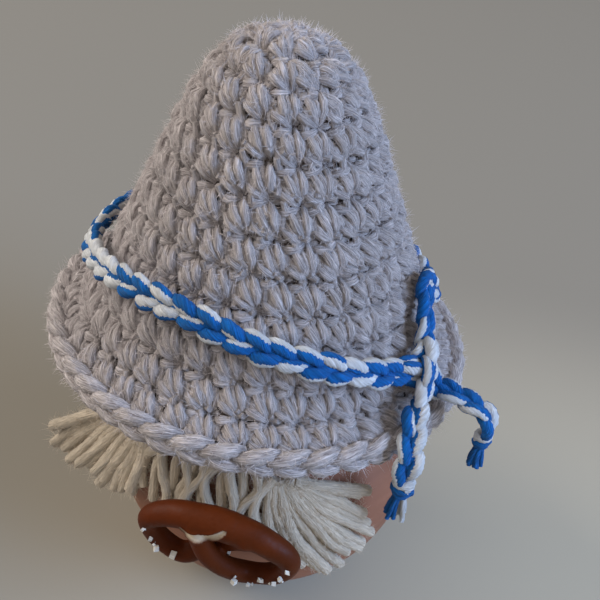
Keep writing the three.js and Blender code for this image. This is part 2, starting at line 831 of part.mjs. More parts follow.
piece('band_tie', bandTie(), cordBlue, 0.9);
piece('tail_front', frontTail.cord, cordBlue, 0.9);
piece('tail_front_knot', tailKnot(frontTail.knot), cordBlue, 0.9);
piece('tail_front_tassel', tailTassel(frontTail.knot), cordWhite, 0.9);
piece('tail_side', sideTail.cord, cordBlue, 0.9);
piece('tail_side_knot', tailKnot(sideTail.knot), cordBlue, 0.9);
piece('tail_side_tassel', tailTassel(sideTail.knot), cordBlue, 0.9);
piece('pretzel', pretzel(), 0x733a1e, 0.5);
piece('pretzel_glue', glueDab(), 0xd8d4c8, 0.4);
const saltSpots = [
  [pretzelLeft, 0.36, 30],
  [pretzelLeft, 0.43, 45],
  [pretzelLeft, 0.5, 20],
  [pretzelLeft, 0.58, 40],
  [pretzelRight, 0.34, 25],
  [pretzelRight, 0.41, 45],
  [pretzelRight, 0.47, 15],
  [pretzelRight, 0.53, 40],
  [pretzelRight, 0.6, 10],
  [pretzelRight, 0.7, 30],
];
saltSpots.forEach(([curve, share, turn], i) => {
  piece(`salt_grain_${i + 1}`, saltGrain(i + 1, curve, share, turn), 0xe8e4da, 0.4);
});

export default group;
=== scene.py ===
# Looks of a gnome figure: a ball head with yarn hair and a pretzel, under a crocheted hat
import math
import random
from collections import namedtuple
from itertools import product

import bmesh
import bpy
import numpy as np
from mathutils import Matrix, Vector, noise


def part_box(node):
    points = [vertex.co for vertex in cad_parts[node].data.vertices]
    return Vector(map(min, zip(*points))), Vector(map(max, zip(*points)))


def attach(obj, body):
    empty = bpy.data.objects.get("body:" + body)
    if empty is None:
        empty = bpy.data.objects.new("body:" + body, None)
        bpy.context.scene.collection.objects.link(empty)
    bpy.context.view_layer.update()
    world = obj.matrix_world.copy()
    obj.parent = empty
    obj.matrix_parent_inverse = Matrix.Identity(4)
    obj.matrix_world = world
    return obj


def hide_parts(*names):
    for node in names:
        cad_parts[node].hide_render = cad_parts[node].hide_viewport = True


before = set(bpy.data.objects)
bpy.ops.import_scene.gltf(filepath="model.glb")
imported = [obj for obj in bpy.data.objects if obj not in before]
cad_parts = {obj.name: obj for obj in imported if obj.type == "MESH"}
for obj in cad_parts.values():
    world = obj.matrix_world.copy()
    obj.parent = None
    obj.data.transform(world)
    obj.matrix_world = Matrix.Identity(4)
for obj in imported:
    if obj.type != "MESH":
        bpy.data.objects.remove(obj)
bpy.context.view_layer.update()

bl_info = {
    "name": "Gnome Figure Looks",
    "version": (1, 0, 0),
    "blender": (4, 5, 0),
    "location": "View3D > Sidebar > Gnome",
    "description": "Dresses the gnome figure in yarn, cotton cord, dough and painted wood",
    "category": "Object",
}

MM = 0.001


def srgb(red, green, blue):
    """A colour as a picture shows it, in the linear values that materials take."""
    linear = []
    for level in (red, green, blue):
        share = level / 255
        linear.append(share / 12.92 if share <= 0.04045 else ((share + 0.055) / 1.055) ** 2.4)
    return tuple(linear)


# Head: a ball with a small flat under it
HEAD_LOW, HEAD_HIGH = (Vector(corner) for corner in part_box("head"))
HEAD_RADIUS = (HEAD_HIGH.x - HEAD_LOW.x) / 2
HEAD_CENTRE = Vector((0, 0, HEAD_HIGH.z - HEAD_RADIUS))
HEAD_EDGE = 0.5 * MM
TOUCH_GAP = 0.3 * MM

# Hair: sides and angles down from the ball's top in degrees
HAIR_YARN = 2 * MM
HAIR_TWIST = 300.0
HAIR_CAP_REACH = 60
HAIR_CAP_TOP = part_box("hair_cap")[1][2] - HEAD_HIGH.z
HAIR_GROUND = 1.6 * MM
HAIR_ROOT = HAIR_CAP_REACH + math.degrees((TOUCH_GAP + HAIR_YARN / 2) / HEAD_RADIUS)
STRAND_LIFT = TOUCH_GAP + HAIR_YARN / 2
STRAND_MARKS = (0, 0.25, 0.5, 0.75, 1)
CAP_STRAND = 1.2 * MM
FRINGE_STRAND = 0.86 * MM
BUNCH_STRAND = 1.02 * MM
FRINGE_FROM = -29
FRINGE_TO = 18
FRINGE_REACH = 87
FRINGE_COUNT = 16
HAIR_FUZZ = {"density": 3e6, "thick": 0.035 * MM, "lean": 1.2}
FUZZ_LENGTH = 1.4 * MM
FRAYED_LENGTH = 2.2 * MM

# Rows of the cap's strands: where each starts and how many strands it has
CAP_ROWS = ((3, 12), (15, 14), (32, 22), (46, 18))

# Cut ends of the bunches' strands: side, angle down from the ball's top, height over it in millimetres
RIGHT_ENDS = (
    (53, 69, 1.8), (55, 75, 2.4), (55, 82, 1.4), (57, 87, 2.2), (58, 97, 1.4),
    (50, 92, 2.5), (50, 103, 1.4), (44, 102, 2.2), (39, 99, 1.4), (34, 94, 1.8),
)
LEFT_ENDS = (
    (-61, 89, 10.4), (-59, 93, 9.8), (-55, 96, 8.8), (-50, 95, 7.3), (-46, 95, 6.2),
    (-42, 93, 5.1), (-38, 92, 4.1), (-34, 91, 3.2), (-30, 91, 2.3),
)

# Sides of the first and the last root of each bunch
RIGHT_ROOTS = (28, 19)
LEFT_ROOTS = (-43, -33)

# Hat: crown and brim
HAT_LOW, HAT_HIGH = (Vector(corner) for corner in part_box("hat"))
BRIM_RADIUS = (HAT_HIGH.x - HAT_LOW.x) / 2
EDGE_RADIUS = 2 * MM
EDGE_CENTRE = BRIM_RADIUS - EDGE_RADIUS
BRIM_RISE = 7 * MM
HAT_PLACE = Vector((
    (HAT_LOW.x + HAT_HIGH.x) / 2,
    (HAT_LOW.y + HAT_HIGH.y) / 2,
    HAT_LOW.z + EDGE_RADIUS,
))
CROWN_FOOT = 28 * MM
CROWN_HEIGHT = HAT_HIGH.z - HAT_PLACE.z - BRIM_RISE
CROWN_TAPER = 0.64
CROWN_ROUNDNESS = 13
CROWN_LEAN = 2.8 * MM
CROWN_LEAN_SIDE = -72
HAT_WALL = 4 * MM
INNER_FOOT = CROWN_FOOT - HAT_WALL
BRIM_SLOPE = math.atan2(BRIM_RISE - EDGE_RADIUS, EDGE_CENTRE - CROWN_FOOT)
MOUTH_HEIGHT = BRIM_RISE + HAT_WALL * math.tan(BRIM_SLOPE) - 2 * EDGE_RADIUS / math.cos(BRIM_SLOPE)

# Band, tie and tails
CORD_WIDTH = 4.6 * MM
CORD_THICKNESS = 3 * MM
BAND_RISE = 7.9 * MM
BAND_SLACK = 0.3 * MM
BAND_HUG = 0.5 * MM
BAND_PRESS = 1.3 * MM
BAND_PRESS_SIDE = 118
BAND_PRESS_SPAN = 45
TIE_SIDE = 73
TIE_WIDTH = 6 * MM
TIE_DEPTH = 4.2 * MM
TAIL_TUCK = 1.6 * MM
KNOT_DIAMETER = 4.2 * MM
TASSEL_LENGTH = 4 * MM
TASSEL_PLIES = 26
TASSEL_REACH = 1.55 * MM
TASSEL_PLY = 0.36 * MM
FRONT_HEADING = 18
FRONT_HANG = 0.3 * MM
SIDE_START = 2 * MM
SIDE_HEADING = 84
SIDE_REACH = 4.4 * MM
SIDE_HANG = 0.3 * MM
TAIL_LIFT = 1.2 * MM
TAIL_BEND = 2.5 * MM
CROWN_SLOPE = math.atan(CROWN_TAPER * CROWN_FOOT / CROWN_HEIGHT)

# How high the band stands round the crown: side and share of its rise
BAND_CLIMB = (
    (TIE_SIDE, 0), (79, 0.25), (84, 0.62), (87, 0.92), (91, 1.06), (97, 0.86), (105, 0.5),
    (115, 0.22), (132, 0.08), (165, 0.1), (220, 0.2), (268, 0.22), (287, 0.3), (305, 0.58),
    (324, 0.84), (351, 1), (378, 0.74), (403, 0.4), (420, 0.12), (TIE_SIDE + 360, 0),
)

# Stuffing: where its wall starts over its foot, and its gap to the crown's inside
STUFFING_START = 1.6 * MM
STUFFING_GAP = 0.9 * MM

# Pretzel
PRETZEL_WIDTH = 25.8 * MM
PRETZEL_HEIGHT = 15.3 * MM
PRETZEL_BELLY = 4.8 * MM
PRETZEL_ARM = 3.4 * MM
PRETZEL_SIDE = 7
PRETZEL_LEAN = 15
PRETZEL_ROLL = -3
PRETZEL_BELLY_HEIGHT = 31 * MM
SALT_GRAINS = [f"salt_grain_{k}" for k in range(1, 11)]

# The open split on the pretzel's own directions, across, up and forward, in millimetres
SPLIT_LINE = (
    (-5.4, 4.5, 2.5), (-4.5, 4.15, 2.5), (-3.2, 4.1, 2.5), (-1.8, 4.5, 2.5), (-0.5, 5.4, 2.5),
    (0.7, 6.6, 2.5),
)
SPLIT_WIDTH = 0.68 * MM
SPLIT_DEPTH = 0.3 * MM
SPLIT_RIDGE = 0.22 * MM
DOUGH_LUMP = 0.12 * MM

# Photograph: a square picture, its focal length and where the brim's middle falls in it, in pixels
PICTURE_SIDE = 600
PICTURE_FOCUS = 1111.5
BRIM_PIXEL = (259.3, 323.6)
CAMERA_AIM = Vector((-6.06 * MM, 4.16 * MM, 41.0 * MM))
CAMERA_DISTANCE = 185 * MM
CAMERA_AZIMUTH = 16
CAMERA_ELEVATION = 35.86
CAMERA_ROLL = 10.02
SENSOR_WIDTH = 36

# Floor: half its width, the middle of the pool of light painted on it, and how far from it the painted light
# starts and stops fading
FLOOR_HALF = 4.0
FLOOR_LIGHT_POOL = Vector((70 * MM, -10 * MM, 0))
FLOOR_LIGHT_POOL_REACH = (20 * MM, 132 * MM)

# Lamps: place, width and colour
KEY_LAMP = ((-1.06, -0.24, 0.72), 0.96, (1.0, 0.93, 0.84))
FILL_LAMP = ((1.06, -0.08, 0.58), 0.8, (0.40, 0.61, 1.0))
LAMP_AIM = Vector((0, 0, 45 * MM))
SKY_TINT = (1.0, 0.965, 0.91)


# Shapes in space

def outward(side):
    """A compass direction round the figure: 0 is the face, 90 is the +X side."""
    turn = math.radians(side)
    return np.array((math.sin(turn), -math.cos(turn), 0.0))


def on_head(side, down, above):
    """A point on or above the ball, at an angle down from its top."""
    reach = HEAD_RADIUS + above
    point = outward(side) * reach * math.sin(math.radians(down))
    point[2] = reach * math.cos(math.radians(down))
    return point + np.array(HEAD_CENTRE)


def smooth_line(points, steps):
    """A smooth line through a few points, which may carry more columns than three."""
    given = np.array(points, float)
    padded = np.vstack([2 * given[0] - given[1], given, 2 * given[-1] - given[-2]])
    gaps = np.maximum(np.linalg.norm(np.diff(padded[:, :3], axis=0), axis=1) ** 0.5, 1e-5)
    spans = len(given) - 1
    line = []
    for place in np.linspace(0, spans, steps + 1):
        first = min(int(place), spans - 1)
        part = place - first
        a, b, c, d = padded[first:first + 4]
        before, within, after = gaps[first:first + 3]
        leave = ((b - a) / before - (c - a) / (before + within) + (c - b) / within) * within
        enter = ((c - b) / within - (d - b) / (within + after) + (d - c) / after) * within
        cubic = 2 * b - 2 * c + leave + enter
        square = -3 * b + 3 * c - 2 * leave - enter
        line.append(b + leave * part + square * part ** 2 + cubic * part ** 3)
    return np.array(line)


def arcs_along(line):
    """How far along a line each of its points lies."""
    return np.concatenate([[0], np.cumsum(np.linalg.norm(np.diff(line, axis=0), axis=1))])


def even_line(points, steps):
    """A smooth line through a few points, in steps of equal length."""
    fine = smooth_line(points, 40 * (len(points) - 1))
    arcs = arcs_along(fine)
    places = np.linspace(0, arcs[-1], steps + 1)
    return np.stack([np.interp(places, arcs, column) for column in fine.T], axis=1)


def unit(vector):
    return vector / np.linalg.norm(vector)


def crown_radius(height, foot, rise):
    share = min(max((height - BRIM_RISE) / rise, 0), 1)
    return foot * (1 - CROWN_TAPER * share) * math.sqrt(1 - share ** CROWN_ROUNDNESS)


def crown_lean(height):
    share = min(max((height - BRIM_RISE) / CROWN_HEIGHT, 0), 1)
    return outward(CROWN_LEAN_SIDE) * CROWN_LEAN * share


def crown_line(foot, rise, steps):
    """Radius and height of the crown's wall, from its tip down to its foot."""
    line = [(0.0, BRIM_RISE + rise)]
    for step in range(1, steps + 1):
        height = BRIM_RISE + rise * math.cos(0.5 * math.pi * step / steps)
        line.append((crown_radius(height, foot, rise), height))
    return line


def hat_outside():
    """Radius and height down the outside of the hat, from its tip to the brim's outermost edge."""
    line = crown_line(CROWN_FOOT, CROWN_HEIGHT, 120)
    for step in range(1, 21):
        turn = math.radians(90 - 4.5 * step)
        line.append((EDGE_CENTRE + EDGE_RADIUS * math.cos(turn), EDGE_RADIUS * math.sin(turn)))
    return line


def hat_inside():
    """Radius and height down the inside of the hat, from its tip to the lowest point of the edge."""
    line = crown_line(INNER_FOOT, CROWN_HEIGHT - HAT_WALL, 120)
    return [*line, (INNER_FOOT, MOUTH_HEIGHT), (EDGE_CENTRE, -EDGE_RADIUS)]


class HatSurface:
    """A side of the hat, on which a place is an arc down from the tip and a compass side."""

    def __init__(self, line, facing):
        self.line = np.array(line)
        self.arcs = arcs_along(self.line)
        self.length = self.arcs[-1]
        self.facing = facing

    def section(self, arc):
        return np.array([np.interp(arc, self.arcs, column) for column in self.line.T])

    def normal(self, arc, spread=1.2 * MM):
        fall = unit(self.section(min(arc + spread, self.length)) - self.section(max(arc - spread, 0)))
        return np.array((-fall[1], fall[0])) * self.facing

    def at(self, arc, side, lift):
        radius, height = self.section(max(arc, 0)) + self.normal(max(arc, 0)) * lift
        point = outward(side) * radius + crown_lean(height) + np.array(HAT_PLACE)
        point[2] += height
        return point


OUTSIDE = HatSurface(hat_outside(), 1)
INSIDE = HatSurface(hat_inside(), -1)


# Node trees

def fill_inputs(tree, made, inputs):
    """Gives a node's inputs what they take: values, or other nodes' outputs."""
    for name, value in inputs.items():
        if isinstance(value, bpy.types.NodeSocket):
            tree.links.new(value, made.inputs[name])
        else:
            made.inputs[name].default_value = value


def node(tree, kind, inputs=None, **settings):
    """A new node with its settings and its inputs."""
    made = tree.nodes.new(kind)
    for name, value in settings.items():
        setattr(made, name, value)
    fill_inputs(tree, made, inputs or {})
    return made


def wire(tree, kind, inputs=None, output=0, **settings):
    """An output of a new node, for the next node's input."""
    return node(tree, kind, inputs, **settings).outputs[output]


def math_node(tree, operation, first, second=0.0):
    return wire(tree, "ShaderNodeMath", {0: first, 1: second}, operation=operation)


def new_tree(name, kind, inputs, outputs):
    """A node tree with named inputs and outputs, what it is given, and its end node."""
    tree = bpy.data.node_groups.new(name, kind)
    for end, sockets in (("INPUT", inputs), ("OUTPUT", outputs)):
        for label, socket in sockets.items():
            tree.interface.new_socket(label, in_out=end, socket_type=f"NodeSocket{socket}")
    return tree, node(tree, "NodeGroupInput").outputs, node(tree, "NodeGroupOutput")


def store(tree, geometry, name, value, kind):
    """Geometry that carries a value under a name."""
    inputs = {"Geometry": geometry, "Name": name, "Value": value}
    return wire(tree, "GeometryNodeStoreNamedAttribute", inputs, data_type=kind)


def end_tree(tree, geometry, material, result):
    """Ends a geometry tree with real meshes that have their material."""
    real = wire(tree, "GeometryNodeRealizeInstances", {"Geometry": geometry})
    dyed = wire(tree, "GeometryNodeSetMaterial", {"Geometry": real, "Material": material})
    tree.links.new(dyed, result.inputs[0])


def yarn_tree():
    """Geometry nodes that turn lines into yarn with twisted plies."""
    tree, given, result = new_tree(
        "Yarn along lines",
        "GeometryNodeTree",
        {
            "Geometry": "Geometry",
            "Sides": "Int",
            "Plies": "Int",
            "Ply Depth": "Float",
            "Twist": "Float",
            "Material": "Material",
        },
        {"Geometry": "Geometry"},
    )
    curve = wire(tree, "GeometryNodeMeshToCurve", {"Mesh": given["Geometry"]})
    along = wire(tree, "GeometryNodeSplineParameter", output="Length")
    measured = store(tree, curve, "along", along, "FLOAT")
    tilt = math_node(tree, "MULTIPLY", along, given["Twist"])
    tilted = wire(tree, "GeometryNodeSetCurveTilt", {"Curve": measured, "Tilt": tilt})
    circle = wire(tree, "GeometryNodeCurvePrimitiveCircle", {"Resolution": given["Sides"], "Radius": 1.0})
    place = wire(tree, "GeometryNodeInputPosition")
    split = node(tree, "ShaderNodeSeparateXYZ", {0: place}).outputs
    angle = math_node(tree, "ARCTAN2", split["Y"], split["X"])
    wave = math_node(tree, "COSINE", math_node(tree, "MULTIPLY", angle, given["Plies"]))
    swell = math_node(tree, "ADD", math_node(tree, "MULTIPLY", wave, given["Ply Depth"]), 1.0)
    lobed = wire(tree, "ShaderNodeVectorMath", {0: place, "Scale": swell}, operation="SCALE")
    profile = wire(tree, "GeometryNodeSetPosition", {"Geometry": circle, "Position": lobed})
    marked = store(tree, profile, "section", place, "FLOAT_VECTOR")
    thick = wire(tree, "GeometryNodeInputNamedAttribute", {"Name": "thick"}, data_type="FLOAT")
    tube = {"Curve": tilted, "Profile Curve": marked, "Scale": thick, "Fill Caps": True}
    soft = wire(tree, "GeometryNodeSetShadeSmooth", {"Geometry": wire(tree, "GeometryNodeCurveToMesh", tube)})
    end_tree(tree, soft, given["Material"], result)
    return tree


def fuzz_tree():
    """Geometry nodes that scatter short loose fibres over a yarn surface."""
    tree, given, result = new_tree(
        "Loose fibres",
        "GeometryNodeTree",
        {
            "Geometry": "Geometry",
            "Fibre": "Object",
            "Density": "Float",
            "Shortest": "Float",
            "Lean": "Float",
            "Seed": "Int",
            "Material": "Material",
        },
        {"Geometry": "Geometry"},
    )
    seed = given["Seed"]
    spread = node(
        tree,
        "GeometryNodeDistributePointsOnFaces",
        {"Mesh": given["Geometry"], "Density": given["Density"], "Seed": seed},
    ).outputs
    most = wire(tree, "ShaderNodeCombineXYZ", {0: given["Lean"], 1: given["Lean"], 2: math.tau})
    least = wire(tree, "ShaderNodeVectorMath", {0: most, "Scale": -1.0}, operation="SCALE")
    turn = wire(
        tree,
        "FunctionNodeRandomValue",
        {0: least, 1: most, "Seed": seed},
        data_type="FLOAT_VECTOR",
    )
    bend = wire(tree, "FunctionNodeEulerToRotation", {0: turn})
    stand = wire(
        tree,
        "FunctionNodeRotateRotation",
        {0: spread["Rotation"], 1: bend},
        rotation_space="LOCAL",
    )
    length = wire(
        tree,
        "FunctionNodeRandomValue",
        {2: given["Shortest"], 3: 1.0, "Seed": seed},
        output=1,
        data_type="FLOAT",
    )
    placed = wire(
        tree,
        "GeometryNodeInstanceOnPoints",
        {
            "Points": spread["Points"],
            "Instance": wire(tree, "GeometryNodeObjectInfo", {"Object": given["Fibre"]}, output="Geometry"),
            "Rotation": stand,
            "Scale": length,
        },
    )
    end_tree(tree, placed, given["Material"], result)
    return tree


def shared_tree(name, make):
    """A node tree by its name, made when it is first asked for."""
    return bpy.data.node_groups.get(name) or make()


def keep_result(piece):
    """Keeps what a piece's modifiers make as its plain mesh."""
    graph = bpy.context.evaluated_depsgraph_get()
    made = bpy.data.meshes.new_from_object(
        piece.evaluated_get(graph),
        preserve_all_data_layers=True,
        depsgraph=graph,
    )
    piece.modifiers.clear()
    rough = piece.data
    piece.data = made
    bpy.data.meshes.remove(rough)
    made.name = piece.name
    if not made.polygons:
        raise RuntimeError(f"{piece.name} came out with no faces")
    return piece


def apply_tree(piece, tree, values):
    """Runs a geometry tree on a piece and keeps the result."""
    modifier = piece.modifiers.new(tree.name, "NODES")
    modifier.node_group = tree
    for item in tree.interface.items_tree:
        if item.in_out == "INPUT" and item.name in values:
            modifier[item.identifier] = values[item.name]
    return keep_result(piece)


# Pieces

def new_piece(name, points, faces=(), edges=()):
    mesh = bpy.data.meshes.new(name)
    mesh.from_pydata([tuple(point) for point in points], list(edges), list(faces))
    mesh.update()
    piece = bpy.data.objects.new(name, mesh)
    bpy.context.scene.collection.objects.link(piece)
    return piece


def shade_smooth(piece):
    piece.data.polygons.foreach_set("use_smooth", [True] * len(piece.data.polygons))
    piece.data.update()
    return piece


def merge_doubles(piece, reach=1e-6):
    work = bmesh.new()
    work.from_mesh(piece.data)
    bmesh.ops.remove_doubles(work, verts=work.verts, dist=reach)
    bmesh.ops.recalc_face_normals(work, faces=work.faces)
    work.to_mesh(piece.data)
    work.free()
    piece.data.update()


def dress(piece, body, slot, *nodes):
    """The piece rides on a body and stands for its solids; its slot is not used."""
    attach(piece, body)
    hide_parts(*nodes)
    return piece


def ring_faces(rings, turns):
    """Faces between rings of points, each of which closes on itself."""
    faces = []
    for ring in range(rings - 1):
        for k in range(turns):
            a = ring * turns + k
            b = ring * turns + (k + 1) % turns
            faces.append((a, a + turns, b + turns, b))
    return faces


def closed_piece(name, points, rings, turns):
    """A smooth piece from rings of points, the first and last of which may shrink to a point."""
    piece = new_piece(name, points, ring_faces(rings, turns))
    merge_doubles(piece)
    return shade_smooth(piece)


def lathe(name, line, turns, centre, lean=None):
    """A closed form turned round the Z axis from radius and height, which start and end on the axis."""
    points = []
    for radius, height in line:
        shift = lean(height) if lean else np.zeros(3)
        for k in range(turns):
            points.append(outward(360 * k / turns) * radius + shift + np.array((0, 0, height)) + centre)
    return closed_piece(name, points, len(line), turns)


class YarnLines:
    """Lines that become yarn, each point with its half thickness and its line's tint."""

    def __init__(self):
        self.points = []
        self.edges = []
        self.thick = []
        self.tint = []

    def add(self, points, thick, tint):
        first = len(self.points)
        count = len(points)
        self.points.extend(points)
        self.thick.extend(np.broadcast_to(thick, count))
        self.tint.extend([tint] * count)
        self.edges.extend((first + k, first + k + 1) for k in range(count - 1))

    def piece(self, name, material, sides, ply_depth, twist):
        lines = new_piece(name, self.points, edges=self.edges)
        for label in ("thick", "tint"):
            layer = lines.data.attributes.new(label, "FLOAT", "POINT")
            layer.data.foreach_set("value", np.array(getattr(self, label), np.float32))
        values = {
            "Sides": sides,
            "Plies": 3,
            "Ply Depth": ply_depth,
            "Twist": twist,
            "Material": material,
        }
        return apply_tree(lines, shared_tree("Yarn along lines", yarn_tree), values)


def fibre_object(length, thick):
    """One loose fibre with three sides, used by the scatter and then removed."""
    points = []
    for k in range(3):
        turn = math.tau * k / 3
        points.append((thick * math.cos(turn), thick * math.sin(turn), 0))
    points.append((0.3 * length, 0, 0.95 * length))
    return new_piece("loose_fibre", points, [(2, 1, 0), (0, 1, 3), (1, 2, 3), (2, 0, 3)])


def fuzz(surface, material, length, seed, density, thick, lean):
    """Loose fibres standing on a yarn piece, as a piece of their own."""
    piece = bpy.data.objects.new(f"{surface.name}_fuzz", surface.data.copy())
    bpy.context.scene.collection.objects.link(piece)
    fibre = fibre_object(length, thick)
    values = {
        "Fibre": fibre,
        "Density": density,
        "Shortest": 0.35,
        "Lean": lean,
        "Seed": seed,
        "Material": material,
    }
    apply_tree(piece, shared_tree("Loose fibres", fuzz_tree), values)
    bpy.data.objects.remove(fibre)
    return piece


# Materials

# Between these a noise texture has nearly all of its values
NOISE_RANGE = (0.3, 0.7)


def yarn_fibres_group():
    """Shader group: streaks that run along a yarn's plies, from its own section and length."""
    tree, given, result = new_tree(
        "Yarn fibres",
        "ShaderNodeTree",
        {"Section": "Vector", "Along": "Float", "Tint": "Float", "Fineness": "Float", "Twist": "Float"},
        {"Streak": "Float", "Fluff": "Float"},
    )
    angle = math_node(tree, "MULTIPLY", given["Along"], given["Twist"])
    turned = wire(
        tree,
        "ShaderNodeVectorRotate",
        {"Vector": given["Section"], "Angle": angle},
        rotation_type="Z_AXIS",
    )
    spread = wire(tree, "ShaderNodeVectorMath", {0: turned, "Scale": given["Fineness"]}, operation="SCALE")
    split = node(tree, "ShaderNodeSeparateXYZ", {0: spread}).outputs
    run = math_node(tree, "MULTIPLY", given["Along"], 420.0)
    start = math_node(tree, "MULTIPLY", given["Tint"], 91.0)
    along = math_node(tree, "ADD", run, start)
    place = wire(tree, "ShaderNodeCombineXYZ", {0: split[0], 1: split[1], 2: along})
    streak = noise_of(tree, place, 1.0, 3.0, 0.62)
    clear = wire(tree, "ShaderNodeMapRange", {"Value": streak, "From Min": 0.34, "From Max": 0.64})
    fill_inputs(tree, result, {"Streak": clear, "Fluff": noise_of(tree, place, 0.35, 2.0)})
    return tree


def mottle_group():
    """Shader group: slow and fine unevenness over a piece, from its own coordinates."""
    tree, given, result = new_tree(
        "Mottle",
        "ShaderNodeTree",
        {"Vector": "Vector", "Coarse": "Float", "Fine": "Float"},
        {"Patches": "Float", "Grain": "Float"},
    )
    patches = noise_of(tree, given["Vector"], given["Coarse"], 3.0)
    grain = noise_of(tree, given["Vector"], given["Fine"], 4.0, 0.6)
    fill_inputs(tree, result, {"Patches": patches, "Grain": grain})
    return tree


def noise_of(tree, place, scale, detail, roughness=0.5):
    return wire(
        tree,
        "ShaderNodeTexNoise",
        {"Vector": place, "Scale": scale, "Detail": detail, "Roughness": roughness},
    )


def own_place(tree):
    """A point's place in the piece's own coordinates."""
    return wire(tree, "ShaderNodeTexCoord", output="Object")


def new_material(name):
    """An empty material with its principled shader."""
    material = bpy.data.materials.new(name)
    material.use_nodes = True
    tree = material.node_tree
    tree.nodes.clear()
    shader = node(tree, "ShaderNodeBsdfPrincipled")
    output = node(tree, "ShaderNodeOutputMaterial")
    tree.links.new(shader.outputs[0], output.inputs["Surface"])
    return material, tree, shader


def attribute(tree, name, output):
    return wire(tree, "ShaderNodeAttribute", output=output, attribute_name=name)


def mix_colour(tree, share, first, second):
    made = node(tree, "ShaderNodeMix", {0: share}, data_type="RGBA")
    for key, value in ((6, first), (7, second)):
        plain = not isinstance(value, bpy.types.NodeSocket)
        fill_inputs(tree, made, {key: (*value[:3], 1.0) if plain else value})
    return made.outputs[2]


def mottle(tree, coarse, fine):
    """Slow patches and fine grain, each from the piece's own coordinates."""
    made = node(
        tree,
        "ShaderNodeGroup",
        {"Vector": own_place(tree), "Coarse": coarse, "Fine": fine},
        node_tree=shared_tree("Mottle", mottle_group),
    )
    return made.outputs["Patches"], made.outputs["Grain"]


def map_range(tree, value, low, high, start=0.0, end=1.0):
    return wire(
        tree,
        "ShaderNodeMapRange",
        {"Value": value, "From Min": start, "From Max": end, "To Min": low, "To Max": high},
    )


def scaled_colour(tree, colour, value):
    """A colour made lighter or darker over the surface."""
    return wire(tree, "ShaderNodeHueSaturation", {"Color": colour, "Value": value})


def bump(tree, height, strength, distance):
    return wire(tree, "ShaderNodeBump", {"Height": height, "Strength": strength, "Distance": distance})


def shaded(colour, share):
    """A colour at a share of its strength."""
    return [min(level * share, 1) for level in colour]


def yarn_material(name, light, dark, fineness, twist, relief, sheen):
    """Yarn: fibres along its plies, a tint for each strand and slow fading over the piece."""
    material, tree, shader = new_material(name)
    tint = attribute(tree, "tint", "Fac")
    fibres = node(
        tree,
        "ShaderNodeGroup",
        {
            "Section": attribute(tree, "section", "Vector"),
            "Along": attribute(tree, "along", "Fac"),
            "Tint": tint,
            "Fineness": fineness,
            "Twist": twist,
        },
        node_tree=shared_tree("Yarn fibres", yarn_fibres_group),
    ).outputs
    patches, grain = mottle(tree, coarse=70.0, fine=2600.0)
    strand = map_range(tree, tint, 0.93, 1.05)
    faded = math_node(tree, "MULTIPLY", strand, map_range(tree, patches, 0.93, 1.07, *NOISE_RANGE))
    height = math_node(tree, "ADD", fibres["Streak"], fibres["Fluff"])
    fill_inputs(tree, shader, {
        "Base Color": scaled_colour(tree, mix_colour(tree, fibres["Streak"], dark, light), faded),
        "Roughness": map_range(tree, grain, 0.78, 0.98, *NOISE_RANGE),
        "Normal": bump(tree, height, strength=0.75, distance=relief),
        "Sheen Weight": sheen,
        "Sheen Roughness": 0.45,
        "Specular IOR Level": 0.25,
    })
    return material


def fluff_material(name, colour):
    """Loose fibres, stuffing and the lining, whose dark colour is painted shade: plain wool with a fine
    mottle.
    """
    material, tree, shader = new_material(name)
    patches, grain = mottle(tree, coarse=180.0, fine=1800.0)
    shade = mix_colour(tree, grain, shaded(colour, 0.78), shaded(colour, 1.1))
    fill_inputs(tree, shader, {
        "Base Color": scaled_colour(tree, shade, map_range(tree, patches, 0.9, 1.1, *NOISE_RANGE)),
        "Roughness": map_range(tree, grain, 0.85, 1.0),
        "Normal": bump(tree, grain, strength=0.5, distance=0.3 * MM),
        "Sheen Weight": 0.3,
        "Specular IOR Level": 0.2,
    })
    return material


def painted_wood_material(name, colour):
    """Thin paint on a turned ball: brushed bands, pores and a faint satin wear."""
    material, tree, shader = new_material(name)
    patches, grain = mottle(tree, coarse=60.0, fine=900.0)
    stretched = wire(tree, "ShaderNodeMapping", {"Vector": own_place(tree), "Scale": (90.0, 90.0, 700.0)})
    rings = noise_of(tree, stretched, 1.0, 5.0)
    shade = mix_colour(tree, rings, shaded(colour, 0.86), shaded(colour, 1.12))
    height = math_node(tree, "ADD", rings, math_node(tree, "MULTIPLY", grain, 0.5))
    fill_inputs(tree, shader, {
        "Base Color": scaled_colour(tree, shade, map_range(tree, patches, 0.9, 1.1, *NOISE_RANGE)),
        "Roughness": map_range(tree, grain, 0.42, 0.66),
        "Normal": bump(tree, height, strength=0.25, distance=0.15 * MM),
        "Specular IOR Level": 0.35,
    })
    return material


def dough_material(name, crust, crumb):
    """Baked dough: a glazed brown crust with fine cracks, and pale crumb where it split open."""
    material, tree, shader = new_material(name)
    patches, grain = mottle(tree, coarse=190.0, fine=1500.0)
    baked = mix_colour(tree, map_range(tree, patches, 0.0, 1.0, *NOISE_RANGE), shaded(crust, 0.72), crust)
    baked = scaled_colour(tree, baked, map_range(tree, grain, 0.88, 1.1))
    open_crumb = mix_colour(tree, grain, shaded(crumb, 0.8), crumb)
    split = attribute(tree, "split", "Fac")
    glaze = map_range(tree, grain, 0.42, 0.62, *NOISE_RANGE)
    height = math_node(tree, "ADD", grain, math_node(tree, "MULTIPLY", patches, 1.5))
    fill_inputs(tree, shader, {
        "Base Color": mix_colour(tree, split, baked, open_crumb),
        "Roughness": wire(tree, "ShaderNodeMix", {0: split, 2: glaze, 3: 0.9}, data_type="FLOAT"),
        "Normal": bump(tree, height, strength=0.35, distance=0.2 * MM),
        "Specular IOR Level": 0.12,
    })
    return material


